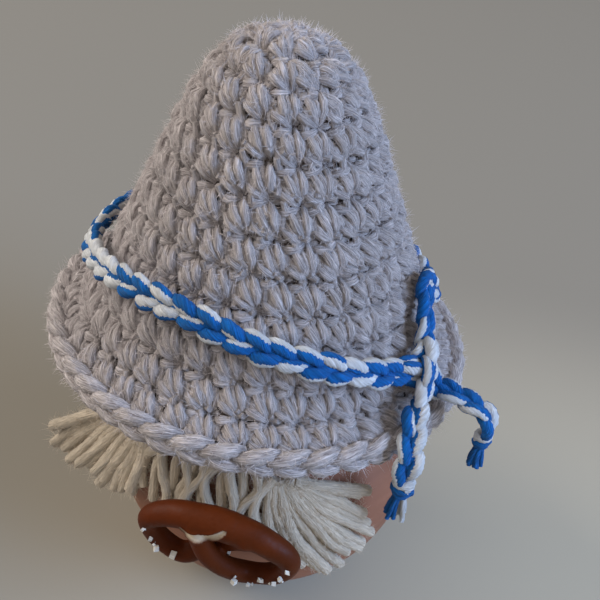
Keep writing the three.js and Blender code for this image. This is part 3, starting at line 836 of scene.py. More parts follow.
def salt_material(name, colour):
    """Coarse salt: white, cloudy and slightly glossy."""
    material, tree, shader = new_material(name)
    patches, grain = mottle(tree, coarse=900.0, fine=3200.0)
    fill_inputs(tree, shader, {
        "Base Color": mix_colour(tree, patches, shaded(colour, 0.82), colour),
        "Roughness": map_range(tree, grain, 0.2, 0.6),
        "Normal": bump(tree, grain, strength=0.4, distance=0.1 * MM),
    })
    return material


def glue_material(name, colour):
    """Dried glue: milky, smooth and a little uneven."""
    material, tree, shader = new_material(name)
    patches, grain = mottle(tree, coarse=250.0, fine=1200.0)
    fill_inputs(tree, shader, {
        "Base Color": mix_colour(tree, patches, shaded(colour, 0.85), colour),
        "Roughness": map_range(tree, grain, 0.25, 0.45),
        "Normal": bump(tree, patches, strength=0.3, distance=0.2 * MM),
    })
    return material


def floor_material(name, near, far):
    """Pale card with a painted pool of light beside the figure that fades to darker floor further away."""
    material, tree, shader = new_material(name)
    patches, grain = mottle(tree, coarse=3.0, fine=60.0)
    apart = wire(
        tree,
        "ShaderNodeVectorMath",
        {0: own_place(tree), 1: FLOOR_LIGHT_POOL},
        output="Value",
        operation="DISTANCE",
    )
    share = wire(
        tree,
        "ShaderNodeMapRange",
        {"Value": apart, "From Min": FLOOR_LIGHT_POOL_REACH[0], "From Max": FLOOR_LIGHT_POOL_REACH[1]},
        interpolation_type="SMOOTHSTEP",
    )
    # Painted pool of light: the lit colour near its middle, fading to the darker colour further away
    shade = mix_colour(tree, share, near, far)
    fill_inputs(tree, shader, {
        "Base Color": scaled_colour(tree, shade, map_range(tree, patches, 0.985, 1.0)),
        "Roughness": map_range(tree, grain, 0.8, 0.9),
        "Specular IOR Level": 0.1,
    })
    return material


# Settings that a user would change

def colour_setting(name, description, *colour):
    return bpy.props.FloatVectorProperty(
        name=name, description=description, subtype="COLOR", min=0, max=1, default=srgb(*colour))


def length_setting(name, description, length):
    return bpy.props.FloatProperty(
        name=name, description=description, subtype="DISTANCE", unit="LENGTH", default=length)


def power_setting(name, description, power):
    return bpy.props.FloatProperty(name=name, description=description, unit="POWER", default=power)


def seed_setting(description, seed):
    return bpy.props.IntProperty(name="Seed", description=description, default=seed)


class HatSettings(bpy.types.PropertyGroup):
    light: colour_setting("Light fibres", "Colour of the yarn's lighter fibres", 225, 215, 215)
    dark: colour_setting("Dark fibres", "Colour of the yarn's darker fibres", 134, 123, 122)
    stitch_width: length_setting("Stitch width", "Width of a stitch along its round", 4.7 * MM)
    round_pitch: length_setting("Round height", "Height of a round of stitches on the crown", 5.33 * MM)
    fuzz_density: bpy.props.FloatProperty(
        name="Loose fibres",
        description="Loose fibres on a square metre of yarn",
        min=0,
        default=1.9e6,
    )
    seed: seed_setting("Start of the hand-made unevenness", 5)


class CordSettings(bpy.types.PropertyGroup):
    blue: colour_setting("Blue", "Colour of the blue cotton", 8, 111, 194)
    white: colour_setting("White", "Colour of the white cotton", 228, 230, 234)
    link_pitch: length_setting("Link length", "Length of one link of the chain along the cord", 3.8 * MM)
    seed: seed_setting("Start of the order of the two colours", 11)


class HairSettings(bpy.types.PropertyGroup):
    light: colour_setting("Light fibres", "Colour of the hair's lighter fibres", 210, 195, 175)
    dark: colour_setting("Dark fibres", "Colour of the hair's darker fibres", 178, 164, 146)
    seed: seed_setting("Start of the strands' unevenness", 3)


class FigureSettings(bpy.types.PropertyGroup):
    head: colour_setting("Head", "Colour of the painted ball", 141, 93, 72)
    crust: colour_setting("Crust", "Colour of the pretzel's crust", 88, 36, 8)
    crumb: colour_setting("Crumb", "Colour of the pretzel's open split", 206, 190, 168)
    salt: colour_setting("Salt", "Colour of the salt grains", 214, 210, 203)


class StageSettings(bpy.types.PropertyGroup):
    # The two floor colours paint a pool of light beside the figure and darker floor further away
    floor: colour_setting("Floor", "Colour of the floor beside the figure", 184, 177, 161)
    floor_beyond_light_pool: colour_setting("Far floor", "Colour of the floor away from the figure", 134, 129, 120)
    key_power: power_setting("Key light", "Power of the large lamp at the upper left", 14.3)
    fill_power: power_setting("Fill light", "Power of the large lamp at the right", 17.2)
    sky: bpy.props.FloatProperty(
        name="Sky",
        description="Strength of the light from all round",
        default=0.55,
    )


# Hat

# A stitch's strands: across its round, up towards the tip, out of the hat and half thickness,
# in shares of a stitch's width, its round's height and the yarn's depth
PETALS = (
    ((0.03, -0.03, -0.42, 0.06), (-0.20, 0.05, -0.12, 0.13), (-0.48, 0.16, 0.04, 0.185),
     (-0.76, 0.32, 0.01, 0.175), (-0.96, 0.50, -0.26, 0.09)),
    ((0.03, 0.00, -0.42, 0.06), (-0.16, 0.17, -0.11, 0.13), (-0.39, 0.43, 0.08, 0.20),
     (-0.60, 0.68, 0.05, 0.185), (-0.80, 0.90, -0.24, 0.09)),
    ((0.04, 0.00, -0.42, 0.06), (0.00, 0.22, -0.11, 0.13), (-0.10, 0.50, 0.08, 0.195),
     (-0.24, 0.78, 0.05, 0.18), (-0.38, 1.03, -0.26, 0.08)),
    ((0.05, 0.02, -0.42, 0.05), (0.15, 0.20, -0.16, 0.10), (0.20, 0.42, -0.05, 0.15),
     (0.15, 0.66, -0.10, 0.14), (0.06, 0.86, -0.34, 0.07)),
)
PETAL_SLANTS = (0.25, 0.55, 1.0, 0.8)
PETAL_COUNT = 7
PETAL_BULK = 0.72
PETAL_STAGGER = 0.035
TOP_BAR = (
    (-0.42, 1.00, -0.40, 0.06), (-0.60, 0.92, -0.10, 0.12), (-0.84, 0.85, -0.03, 0.17),
    (-1.06, 0.83, -0.09, 0.15), (-1.22, 0.87, -0.32, 0.08),
)
FAN_STRANDS = (
    ((0.05, 0.00, -0.42, 0.05), (0.24, 0.03, -0.18, 0.11), (0.42, 0.04, -0.15, 0.12),
     (0.56, 0.06, -0.34, 0.07)),
    ((0.02, -0.02, -0.42, 0.05), (0.06, -0.18, -0.18, 0.10), (0.12, -0.32, -0.15, 0.11),
     (0.16, -0.46, -0.34, 0.07)),
)
TIP_LEG = (
    (0.0, -0.2, -0.3, 0.16), (0.0, 0.3, -0.02, 0.24), (0.05, 0.75, -0.06, 0.2), (0.0, 1.0, -0.4, 0.12),
)
INSIDE_STRANDS = (
    ((-0.62, 0.1, -0.3, 0.1), (-0.3, 0.0, 0.0, 0.15), (0.3, 0.05, 0.0, 0.15), (0.62, -0.05, -0.3, 0.1)),
    ((0.05, 0.0, -0.3, 0.1), (0.1, 0.45, -0.04, 0.15), (-0.1, 0.95, -0.3, 0.1)),
)
PETAL_STEPS = 6
FAN_STEPS = 4
INSIDE_STEPS = 5
UNEVEN = 0.03
HOLE_SHIFT = -0.42
YARN_DEPTH = 5 * MM
STITCH_SINK = -1.4 * MM
INSIDE_SINK = -0.85 * MM
TIP_SIDES = range(0, 360, 60)
TIP_ARC = 2.4 * MM
TIP_WIDTH = 30
TIP_HEIGHT = 2.3 * MM
FIRST_ROUND_ARC = 1.1 * MM
CROWN_ROUNDS = 10
UPPER_ROUNDS = 7
BRIM_ROUND_PITCH = 4.4 * MM
BRIM_ROUNDS = 2

# A leg of the edge's chain: along it in shares of a link, then up, out and half thickness in millimetres
EDGE_LEG = (
    (-0.20, 0.00, -0.5, 0.65), (0.12, 0.70, 0.05, 1.10), (0.50, 1.20, 0.05, 1.28),
    (0.90, 1.45, -0.50, 1.15), (1.22, 1.20, -1.30, 0.60),
)
EDGE_LINKS = 44
EDGE_INSET = 1.2
LOWER_LEG_SLIP = 0.25
LOWER_LEG_SHARE = 0.8

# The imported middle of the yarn: its depth under each side of the hat, and its dips at the holes
LINING_DEPTH = 1.8 * MM
LINING_DEPTH_INSIDE = 1.0 * MM
LINING_END = 0.6 * MM
LINING_TURNS = 240
HOLE_DEPTH = 1.7 * MM
HOLE_REACH = 1.0 * MM
HOLE_ENDS = 3

HAT_TWIST = 260.0
HAT_FORM = {"sides": 6, "ply_depth": 0.04, "twist": HAT_TWIST}
HAT_FUZZ = {"length": 2.0 * MM, "thick": 0.04 * MM, "lean": 1.25}

StitchPlace = namedtuple("StitchPlace", "surface arc side width height sink")


def turn_between(start, end):
    """The shorter turn from one compass side to another."""
    return (end - start + 540) % 360 - 180


def lay_stitch(lines, place, strand, steps, chance, bulk=1.0, slant=0.0):
    """Lays one strand of a stitch on a side of the hat, with the unevenness of handwork."""
    shaken = []
    for across, up, out, thick in strand:
        shaken.append((
            across + slant * max(up, 0) ** 1.3 + chance.uniform(-UNEVEN, UNEVEN),
            up + chance.uniform(-UNEVEN, UNEVEN),
            out + chance.uniform(-UNEVEN, UNEVEN),
            thick * bulk * chance.uniform(0.94, 1.06),
        ))
    points = []
    thick = []
    for across, up, out, half in smooth_line(shaken, steps):
        arc = place.arc - up * place.height
        side = place.side + across * place.width
        points.append(place.surface.at(arc, side, place.sink + out * YARN_DEPTH))
        thick.append(half * YARN_DEPTH)
    lines.add(points, thick, chance.random())


def petal_fan():
    """A stitch's petals with the share of its slant that each takes, spread evenly over the known ones."""
    known = np.array(PETALS)
    fan = []
    for k in range(PETAL_COUNT):
        place = (len(known) - 1) * k / (PETAL_COUNT - 1)
        first = min(int(place), len(known) - 2)
        petal = known[first] + (known[first + 1] - known[first]) * (place - first)
        petal[:, 2] += PETAL_STAGGER * (-1) ** k
        petal[:, 3] *= PETAL_BULK
        fan.append((petal, np.interp(place, range(len(known)), PETAL_SLANTS)))
    return fan


def hat_rounds(pitch):
    """Arc and height of every round of stitches, from the tip to the brim's edge."""
    rounds = [(FIRST_ROUND_ARC + k * pitch, pitch) for k in range(1, CROWN_ROUNDS + 1)]
    foot = rounds[-1][0]
    for k in range(1, BRIM_ROUNDS + 1):
        rounds.append((foot + k * BRIM_ROUND_PITCH, BRIM_ROUND_PITCH))
    return rounds


def stitch_count(surface, arc, width, least):
    """How many stitches go round a side of the hat at an arc."""
    return max(round(math.tau * surface.section(arc)[0] / width), least)


def hole_sides(width, rounds, chance):
    """The compass sides of the holes in every round, as a hand spaces them."""
    holes = []
    for number, (arc, _) in enumerate(rounds, 1):
        count = stitch_count(OUTSIDE, arc, width, 7)
        slip = -HOLE_SHIFT * number
        holes.append([360 * (k + slip + chance.uniform(-0.07, 0.07)) / count for k in range(count)])
    return holes


def outside_stitches(rounds, holes, chosen, chance):
    """The right side of the stitches: from each hole, petals and a bar to the round above."""
    lines = YarnLines()
    fan = [*petal_fan(), (TOP_BAR, 1.0)]
    for number in chosen:
        arc, height = rounds[number]
        above = holes[number - 1] if number else TIP_SIDES
        width = 360 / len(holes[number])
        for side in holes[number]:
            aims = [turn_between(side, place) / width for place in above]
            slant = min(aims, key=lambda aim: abs(aim - HOLE_SHIFT)) - HOLE_SHIFT
            bulk = chance.uniform(0.9, 1.05)
            rise = height * chance.uniform(0.97, 1.03)
            down = arc + chance.uniform(-0.25, 0.25) * MM
            place = StitchPlace(OUTSIDE, down, side, width, rise, STITCH_SINK)
            for strand, share in fan:
                lay_stitch(lines, place, strand, PETAL_STEPS, chance, bulk, slant * share)
            for strand in FAN_STRANDS:
                lay_stitch(lines, place, strand, FAN_STEPS, chance, bulk)
    return lines


def tip_stitches(lines, chance):
    """The closed ring of legs at the tip of the crown."""
    for side in TIP_SIDES:
        place = StitchPlace(OUTSIDE, TIP_ARC, side, TIP_WIDTH, TIP_HEIGHT, STITCH_SINK)
        lay_stitch(lines, place, TIP_LEG, PETAL_STEPS, chance)


def edge_chain(lines, chance):
    """The last round's loops, which lie as a chain of V shapes along the brim's edge."""
    for k in range(EDGE_LINKS):
        for hand, late, share in ((1, 0.0, 1.0), (-1, LOWER_LEG_SLIP, LOWER_LEG_SHARE)):
            points = []
            thick = []
            slip = chance.uniform(-0.06, 0.06) + late
            for along, up, out, half in smooth_line(EDGE_LEG, 8):
                side = (k + along + slip) * (360 / EDGE_LINKS)
                point = outward(side) * (BRIM_RADIUS + (out - EDGE_INSET) * MM) + np.array(HAT_PLACE)
                point[2] += hand * up * MM * share
                points.append(point)
                thick.append(half * MM * chance.uniform(0.96, 1.04))
            lines.add(points, thick, chance.random())


def inside_stitches(settings, chance):
    """The wrong side of the stitches: flat bars in rounds, seen when the hat is off."""
    lines = YarnLines()
    pitch = settings.round_pitch
    rounds = int(INSIDE.length / pitch)
    for number in range(1, rounds + 1):
        arc = number * INSIDE.length / (rounds + 0.3)
        count = stitch_count(INSIDE, arc, settings.stitch_width, 6)
        for k in range(count):
            side = 360 * (k + 0.5 * number) / count
            place = StitchPlace(INSIDE, arc, side, 360 / count, pitch, INSIDE_SINK)
            for strand in INSIDE_STRANDS:
                lay_stitch(lines, place, strand, INSIDE_STEPS, chance)
    return lines


def lining_row(arc, rounds, holes):
    """How deep the lining lies round the outside of the hat at an arc."""
    row = np.full(LINING_TURNS, -LINING_DEPTH)
    for (down, _), sides in zip(rounds, holes):
        fall = (arc - down) / HOLE_REACH
        if abs(fall) > HOLE_ENDS:
            continue
        girth = OUTSIDE.section(down)[0] * math.tau / 360
        for side in sides:
            for k in range(LINING_TURNS):
                apart = turn_between(side, 360 * k / LINING_TURNS) * girth / HOLE_REACH
                if abs(apart) < HOLE_ENDS:
                    row[k] -= HOLE_DEPTH * math.exp(-apart ** 2 - fall ** 2)
    return row


def hat_lining(rounds, holes):
    """The yarn's packed middle, a closed shell that dips at the holes between the stitches."""
    rings = []
    for arc in np.linspace(0, OUTSIDE.length, 150):
        rings.append((OUTSIDE, arc, lining_row(arc, rounds, holes)))
    for arc in np.linspace(INSIDE.length - LINING_END, 0, 50):
        rings.append((INSIDE, arc, np.full(LINING_TURNS, -LINING_DEPTH_INSIDE)))
    points = []
    for surface, arc, row in rings:
        points.extend(surface.at(arc, 360 * k / LINING_TURNS, lift) for k, lift in enumerate(row))
    return closed_piece("hat_lining", points, len(rings), LINING_TURNS)


class MakeHat(bpy.types.Operator):
    """Crochets the hat: crown, brim, edge, inside, lining and loose fibres"""

    bl_idname = "gnome.make_hat"
    bl_label = "Hat"

    def execute(self, context):
        settings = context.scene.gnome_hat
        chance = random.Random(settings.seed)
        wool = yarn_material(
            "grey_wool",
            settings.light,
            settings.dark,
            fineness=5.6,
            twist=HAT_TWIST,
            relief=0.45 * MM,
            sheen=0.3,
        )
        loose = fluff_material("grey_wool_fibres", settings.light)
        rounds = hat_rounds(settings.round_pitch)
        holes = hole_sides(settings.stitch_width, rounds, chance)
        upper = outside_stitches(rounds, holes, range(UPPER_ROUNDS), chance)
        tip_stitches(upper, chance)
        lower = outside_stitches(rounds, holes, range(UPPER_ROUNDS, CROWN_ROUNDS), chance)
        brim = outside_stitches(rounds, holes, range(CROWN_ROUNDS, len(rounds)), chance)
        edge_chain(brim, chance)
        made = []
        for name, lines in (("crown_upper", upper), ("crown_lower", lower), ("brim_yarn", brim)):
            piece = lines.piece(name, wool, **HAT_FORM)
            fibres = fuzz(piece, loose, seed=settings.seed, density=settings.fuzz_density, **HAT_FUZZ)
            made += [piece, fibres]
        made.append(inside_stitches(settings, chance).piece("hat_inside", wool, **HAT_FORM))
        made.append(hat_lining(rounds, holes))
        # The lining's dark colour is painted shade, seen through the holes between the stitches
        made[-1].data.materials.append(fluff_material("grey_wool_middle", srgb(80, 70, 67)))
        for piece in made:
            dress(piece, "hat", "hat_yarn", "hat")
        return {"FINISHED"}


# Cord

# A leg of a chain link: along the cord in shares of a link, then across it, out of it and half
# thickness in millimetres
CHAIN_LEG = (
    (-0.22, 0.62, -0.55, 0.50), (0.06, 1.14, 0.10, 0.88), (0.42, 1.16, 0.56, 1.00),
    (0.84, 0.72, 0.52, 0.90), (1.26, 0.14, -0.20, 0.50),
)
CHAIN_MIDDLE = (
    (-0.25, -0.10, -0.45, 0.60), (0.10, 0.05, 0.05, 0.78), (0.55, -0.05, 0.08, 0.78),
    (0.95, 0.05, -0.45, 0.60),
)

# The other strand beside a leg: its place outside or inside it, the share of legs with it outside, its
# height over the leg and its thickness, the lengths in shares of the leg's own
RIM_OUTSIDE = 0.66
RIM_INSIDE = -0.62
RIM_OUTSIDE_SHARE = 0.6
RIM_RAISED = 0.12
RIM_BULK = 0.62

# Share of the links at which a lane of the chain changes its colour
COLOUR_CHANGE = 0.45

# The two cottons, and how strong the colour of their darker fibres is
COTTON_DARK = {"blue": 0.5, "white": 0.74}
CORD_FORM = {"sides": 12, "ply_depth": 0.055, "twist": 1000.0}

# Room over the brim for a tail that lies on it, along the brim and near its edge
BRIM_ROOM = 0.6 * MM
EDGE_ROOM = 0.7 * MM

# A tail's first steps, which the tie hides, and its links' length beside the band's
TAIL_HIDDEN = 3
TAIL_LINK_SHARE = 0.9

# The turns of a knot: colour, rise, tilt and turn in degrees, reach and half thickness, the lengths in
# shares of the knot's size
KNOT_RINGS = (
    ("white", 0.21, 12, 0, 0.27, 0.18),
    ("blue", -0.10, -14, 70, 0.28, 0.18),
    ("white", 0.06, 58, 20, 0.31, 0.13),
    ("blue", -0.27, 8, 150, 0.21, 0.15),
)
RING_TURNS = 1.15
RING_STEPS = 14
RING_CLIMB = 0.35 * MM


class CordPath:
    """A cord's middle line, with the direction that its face looks to."""

    def __init__(self, points, over, closed=False):
        self.points = np.array(points)
        self.over = np.array(over)
        self.arcs = arcs_along(self.points)
        self.length = self.arcs[-1]
        self.closed = closed

    def read(self, table, arc):
        place = arc % self.length if self.closed else min(max(arc, 0), self.length)
        return np.array([np.interp(place, self.arcs, column) for column in table.T])

    def middle(self, arc):
        """A place on the line, which goes straight on past the ends of an open cord."""
        place = self.read(self.points, arc)
        if not self.closed and arc < 0:
            place = place + unit(self.points[1] - self.points[0]) * arc
        if not self.closed and arc > self.length:
            place = place + unit(self.points[-1] - self.points[-2]) * (arc - self.length)
        return place

    def at(self, arc, across, out, reach=0.4 * MM):
        along = unit(self.middle(arc + reach) - self.middle(arc - reach))
        over = self.read(self.over, arc)
        over = unit(over - along * over.dot(along))
        return self.middle(arc) + np.cross(over, along) * across + over * out


def other_colour(colour):
    return "white" if colour == "blue" else "blue"


def link_points(path, arcs, rows, hand, beside=0.0, raised=0.0):
    """Points of a link's leg, or of a strand beside and over it by shares of its half thickness."""
    points = []
    for arc, (_, across, out, half) in zip(arcs, rows):
        points.append(path.at(arc, hand * (across + beside * half) * MM, (out + raised * half) * MM))
    return points


def lay_chain(strands, path, pitch, chance):
    """Lays a chain along a cord's path, worked with a blue and a white strand held together."""
    count = max(round(path.length / pitch), 2)
    step = path.length / count
    shade = {1: "blue", -1: "white", 0: "blue"}
    for k in range(count):
        for lane in (0, 1, -1):
            if lane and chance.random() < COLOUR_CHANGE:
                shade[lane] = other_colour(shade[lane])
            slip = chance.uniform(-0.06, 0.06) + (0.4 if lane < 0 else 0.0)
            hand = lane or 1
            rows = smooth_line(CHAIN_LEG if lane else CHAIN_MIDDLE, 10)
            arcs = (k + rows[:, 0] + slip) * step
            bulk = chance.uniform(0.95, 1.05) * rows[:, 3] * MM
            strands[shade[lane]].add(link_points(path, arcs, rows, hand), bulk, chance.random())
            if lane:
                rim = RIM_OUTSIDE if chance.random() < RIM_OUTSIDE_SHARE else RIM_INSIDE
                points = link_points(path, arcs, rows, hand, rim, RIM_RAISED)
                other = strands[other_colour(shade[lane])]
                other.add(points, rows[:, 3] * RIM_BULK * MM, chance.random())


def band_climb(side):
    """Height of the band over the crown's foot on a smooth line through its known places."""
    turn = (side - TIE_SIDE) % 360 + TIE_SIDE
    (second, rise), (last, fall) = BAND_CLIMB[1], BAND_CLIMB[-2]
    table = [(last - 360, fall), *BAND_CLIMB, (second + 360, rise)]
    at = 1
    while at < len(BAND_CLIMB) - 1 and table[at + 1][0] < turn:
        at += 1
    before, (start, low), (end, high), after = table[at - 1:at + 3]
    span = end - start
    leave = (high - before[1]) / (end - before[0]) * span
    enter = (after[1] - low) / (after[0] - start) * span
    part = (turn - start) / span
    square = 3 * (high - low) - 2 * leave - enter
    cubic = 2 * (low - high) + leave + enter
    return BAND_RISE * max(low + leave * part + square * part ** 2 + cubic * part ** 3, 0)


def band_place(side, closer=0.0):
    """The middle of the band, which is high over the face and just past its tie, and low behind."""
    height = BRIM_RISE + CORD_WIDTH / 2 + band_climb(side)
    lift = (CORD_THICKNESS / 2 + TOUCH_GAP + BAND_SLACK) / math.cos(CROWN_SLOPE) - closer
    radius = crown_radius(height, CROWN_FOOT, CROWN_HEIGHT) + lift
    point = outward(side) * (radius + crown_lean(height).dot(outward(side))) + np.array(HAT_PLACE)
    point[2] += height
    return point


def band_path():
    points = []
    over = []
    for k in range(721):
        side = TIE_SIDE + 360 * k / 720
        beside = max(1 - abs(side - BAND_PRESS_SIDE) / BAND_PRESS_SPAN, 0)
        points.append(band_place(side, BAND_HUG + BAND_PRESS * beside ** 2 * (3 - 2 * beside)))
        face = outward(side) * math.cos(CROWN_SLOPE)
        face[2] = math.sin(CROWN_SLOPE)
        over.append(face)
    return CordPath(points, over, closed=True)


def brim_top(radius):
    """Height of the brim's upper face over its edge's middle."""
    if radius < EDGE_CENTRE:
        return BRIM_RISE - (radius - CROWN_FOOT) * math.tan(BRIM_SLOPE)
    return math.sqrt(max(EDGE_RADIUS ** 2 - (radius - EDGE_CENTRE) ** 2, 0))


def tail_path(sideways, heading, reach, hang):
    """A tail's middle line from the tie over the brim's edge to its knot, and the knot's place."""
    ahead = outward(heading)
    start = band_place(TIE_SIDE) + outward(TIE_SIDE) * (TIE_DEPTH - TAIL_TUCK)
    start = start + outward(TIE_SIDE + 90) * sideways

    def radius_at(run):
        return np.linalg.norm((start + ahead * run - np.array(HAT_PLACE))[:2])

    above = CORD_THICKNESS / 2 + TOUCH_GAP
    run = 0.0
    while radius_at(run) < BRIM_RADIUS + above + CORD_WIDTH * 0.15:
        run += 0.05 * MM
    steep = above / math.cos(BRIM_SLOPE) + BRIM_ROOM
    route = [(0.0, brim_top(radius_at(0)) + steep)]
    if reach > 0:
        over = EDGE_RADIUS + above + TAIL_LIFT
        for turn in (0, 30, 60, 90):
            bend = math.radians(turn)
            ahead_by = run + reach - TAIL_BEND * (1 - math.sin(bend))
            route.append((ahead_by, over - TAIL_BEND * (1 - math.cos(bend))))
        route.append((run + reach, over - TAIL_BEND - hang))
    else:
        route += [
            (run * 0.35, brim_top(radius_at(run * 0.35)) + steep),
            (run * 0.7, brim_top(radius_at(run * 0.7)) + above + EDGE_ROOM),
            (run, EDGE_RADIUS * 0.6),
            (run + 0.5 * MM, -EDGE_RADIUS),
            (run + 0.6 * MM, -EDGE_RADIUS - hang),
        ]
    marks = []
    for along, height in route:
        point = start + ahead * along
        marks.append((point[0], point[1], HAT_PLACE.z + height))
    line = even_line(marks, 60)
    sides = outward(heading + 90)
    over = [unit(np.cross(step, sides)) for step in np.gradient(line, axis=0)]
    knot = line[-1] - np.array((0, 0, TOUCH_GAP + KNOT_DIAMETER * 0.46))
    return CordPath(line, over), knot


def lay_ring(lines, centre, tilt, heading, radius, thick, chance):
    """A turn of cord round a knot, on a tilted plane."""
    across = outward(heading)
    beside = outward(heading + 90) * math.cos(math.radians(tilt))
    beside[2] = math.sin(math.radians(tilt))
    points = []
    for step in range(RING_STEPS + 1):
        turn = math.tau * RING_TURNS * step / RING_STEPS
        climb = np.array((0, 0, RING_CLIMB * (2 * step / RING_STEPS - 1)))
        points.append(centre + across * radius * math.cos(turn) + beside * radius * math.sin(turn) + climb)
    lines.add(points, thick, chance.random())


def lay_knot(strands, place, heading, size, chance):
    """The stopper knot at a tail's end: two white turns over two blue ones."""
    for colour, rise, tilt, turn, reach, thick in KNOT_RINGS:
        centre = place + np.array((0, 0, rise * size))
        lay_ring(strands[colour], centre, tilt, heading + turn, reach * size, thick * size, chance)


def lay_tassel(strands, place, heading, bulk, white_share, chance):
    """The cord's cut plies under a knot, spreading as they hang."""
    top = place - np.array((0, 0, KNOT_DIAMETER * 0.34))
    for _ in range(TASSEL_PLIES):
        turn = 360 * chance.random()
        reach = TASSEL_REACH * bulk * math.sqrt(chance.random())
        length = (TASSEL_LENGTH + 0.12 * KNOT_DIAMETER) * bulk * chance.uniform(0.86, 1.06)
        bow = outward(turn + 90) * chance.uniform(-0.3, 0.3) * MM
        marks = []
        for share in (0.0, 0.3, 0.65, 1.0):
            spread = reach * (0.3 + 0.7 * share ** 0.7)
            point = top + outward(turn) * spread + bow * math.sin(math.pi * share)
            point[2] -= length * share
            marks.append(point)
        pale = math.cos(math.radians(turn - heading)) > 1 - 2 * white_share
        strands["white" if pale else "blue"].add(smooth_line(marks, 6), TASSEL_PLY, chance.random())


def beside_band(turn, lift):
    """A place on the band near its tie, lifted off the crown by millimetres."""
    return band_place(TIE_SIDE + turn) + outward(TIE_SIDE + turn) * lift * MM


def lay_tie(strands, front, side, chance, pitch):
    """The tie: one end of the cord crosses over the other and goes on as the front tail."""
    face = outward(TIE_SIDE)
    over = beside_band(0, 1.9) + outward(TIE_SIDE - 90) * 0.5 * MM
    under = beside_band(0, 0.9) - np.array((0, 0, 1.2 * MM))
    ends = (
        (beside_band(8, 0.5), over, front.points[0] + face * 0.5 * MM),
        (beside_band(-9, 0.2), under, side.points[0]),
    )
    for marks in ends:
        lay_chain(strands, CordPath(even_line(marks, 24), [face] * 25), pitch, chance)


class MakeCord(bpy.types.Operator):
    """Crochets the two-colour cord: the band, its tie and the two tails with knots and tassels"""

    bl_idname = "gnome.make_cord"
    bl_label = "Hat band and tails"

    def execute(self, context):
        settings = context.scene.gnome_cord
        cotton = {}
        for colour, share in COTTON_DARK.items():
            light = getattr(settings, colour)
            cotton[colour] = yarn_material(
                f"{colour}_cotton",
                light,
                shaded(light, share),
                fineness=4.0,
                twist=0.0,
                relief=0.35 * MM,
                sheen=0.06,
            )
        chance = random.Random(settings.seed)
        pitch = settings.link_pitch
        front, front_knot = tail_path(-TIE_WIDTH / 2 - TOUCH_GAP, FRONT_HEADING, 0, FRONT_HANG)
        side, side_knot = tail_path(SIDE_START, SIDE_HEADING, SIDE_REACH, SIDE_HANG)
        band = self.strands()
        lay_chain(band, band_path(), pitch, chance)
        self.keep(band, cotton, "band", "band", "hat_band")
        tie = self.strands()
        lay_tie(tie, front, side, chance, pitch)
        self.keep(tie, cotton, "tie", "band", "band_tie")
        tails = (
            ("tail_front", front, front_knot, FRONT_HEADING, 1.0, 0.2),
            ("tail_side", side, side_knot, SIDE_HEADING, 0.8, 0.0),
        )
        for name, path, knot, heading, bulk, white_share in tails:
            tail = self.strands()
            shown = CordPath(path.points[TAIL_HIDDEN:], path.over[TAIL_HIDDEN:])
            lay_chain(tail, shown, pitch * TAIL_LINK_SHARE, chance)
            lay_knot(tail, knot, heading, bulk * KNOT_DIAMETER, chance)
            lay_tassel(tail, knot, heading + 90, bulk, white_share, chance)
            self.keep(tail, cotton, name, name, name, f"{name}_knot", f"{name}_tassel")
        return {"FINISHED"}

    def strands(self):
        return {colour: YarnLines() for colour in COTTON_DARK}

    def keep(self, strands, cotton, name, body, *nodes):
        for colour, lines in strands.items():
            piece = lines.piece(f"{name}_{colour}", cotton[colour], **CORD_FORM)
            dress(piece, body, f"cord_{colour}", *nodes)


# Hair

HAIR_FORM = {"sides": 10, "ply_depth": 0.07, "twist": HAIR_TWIST}
FRINGE_NODES = [f"fringe_strand_{k}" for k in range(1, 9)]


def lay_strand(lines, marks, thick, chance):
    """One strand of hair yarn, thinner towards its cut end."""
    line = smooth_line(marks, 14)
    shares = np.linspace(0, 1, len(line))
    lines.add(line, thick * (1 - 0.12 * shares ** 4) * chance.uniform(0.92, 1.05), chance.random())


def cap_strands(chance):
    """Yarn laid down from the top of the ball, with more strands as it widens."""
    lines = YarnLines()
    for start, count in CAP_ROWS:
        for k in range(count):
            side = 360 * (k + 0.5 * (start % 2) + chance.uniform(-0.15, 0.15)) / count
            sway = chance.uniform(-3, 3)
            lift = HAIR_CAP_TOP - 1.25 * MM - chance.uniform(0, 0.25) * MM
            marks = []
            for share in STRAND_MARKS:
                down = start + (HAIR_CAP_REACH - 1 - start) * share
                marks.append(on_head(side + sway * math.sin(math.pi * share), down, lift))
            lay_strand(lines, marks, CAP_STRAND, chance)
    return lines


def fringe_strands(chance):
    """The fringe over the face: a straight layer, and looser strands that cross it."""
    lines = YarnLines()
    for k in range(FRINGE_COUNT):
        loose = k % 2
        place = k + chance.uniform(-0.25, 0.25)
        root = FRINGE_FROM + (FRINGE_TO - FRINGE_FROM) * place / (FRINGE_COUNT - 1)
        lean = chance.uniform(-9, 9) if loose else chance.uniform(-2, 2)
        reach = FRINGE_REACH + chance.uniform(-4, 3)
        lift = STRAND_LIFT + (0.45 if loose else -0.25) * MM
        marks = []
        for share in STRAND_MARKS:
            down = HAIR_ROOT + (reach - HAIR_ROOT) * share
            wave = (2.8 if loose else 1.0) * math.sin(math.pi * 2 * share + k)
            marks.append(on_head(root + lean * share ** 2 + wave, down, lift))
        lay_strand(lines, marks, FRINGE_STRAND, chance)
    return lines


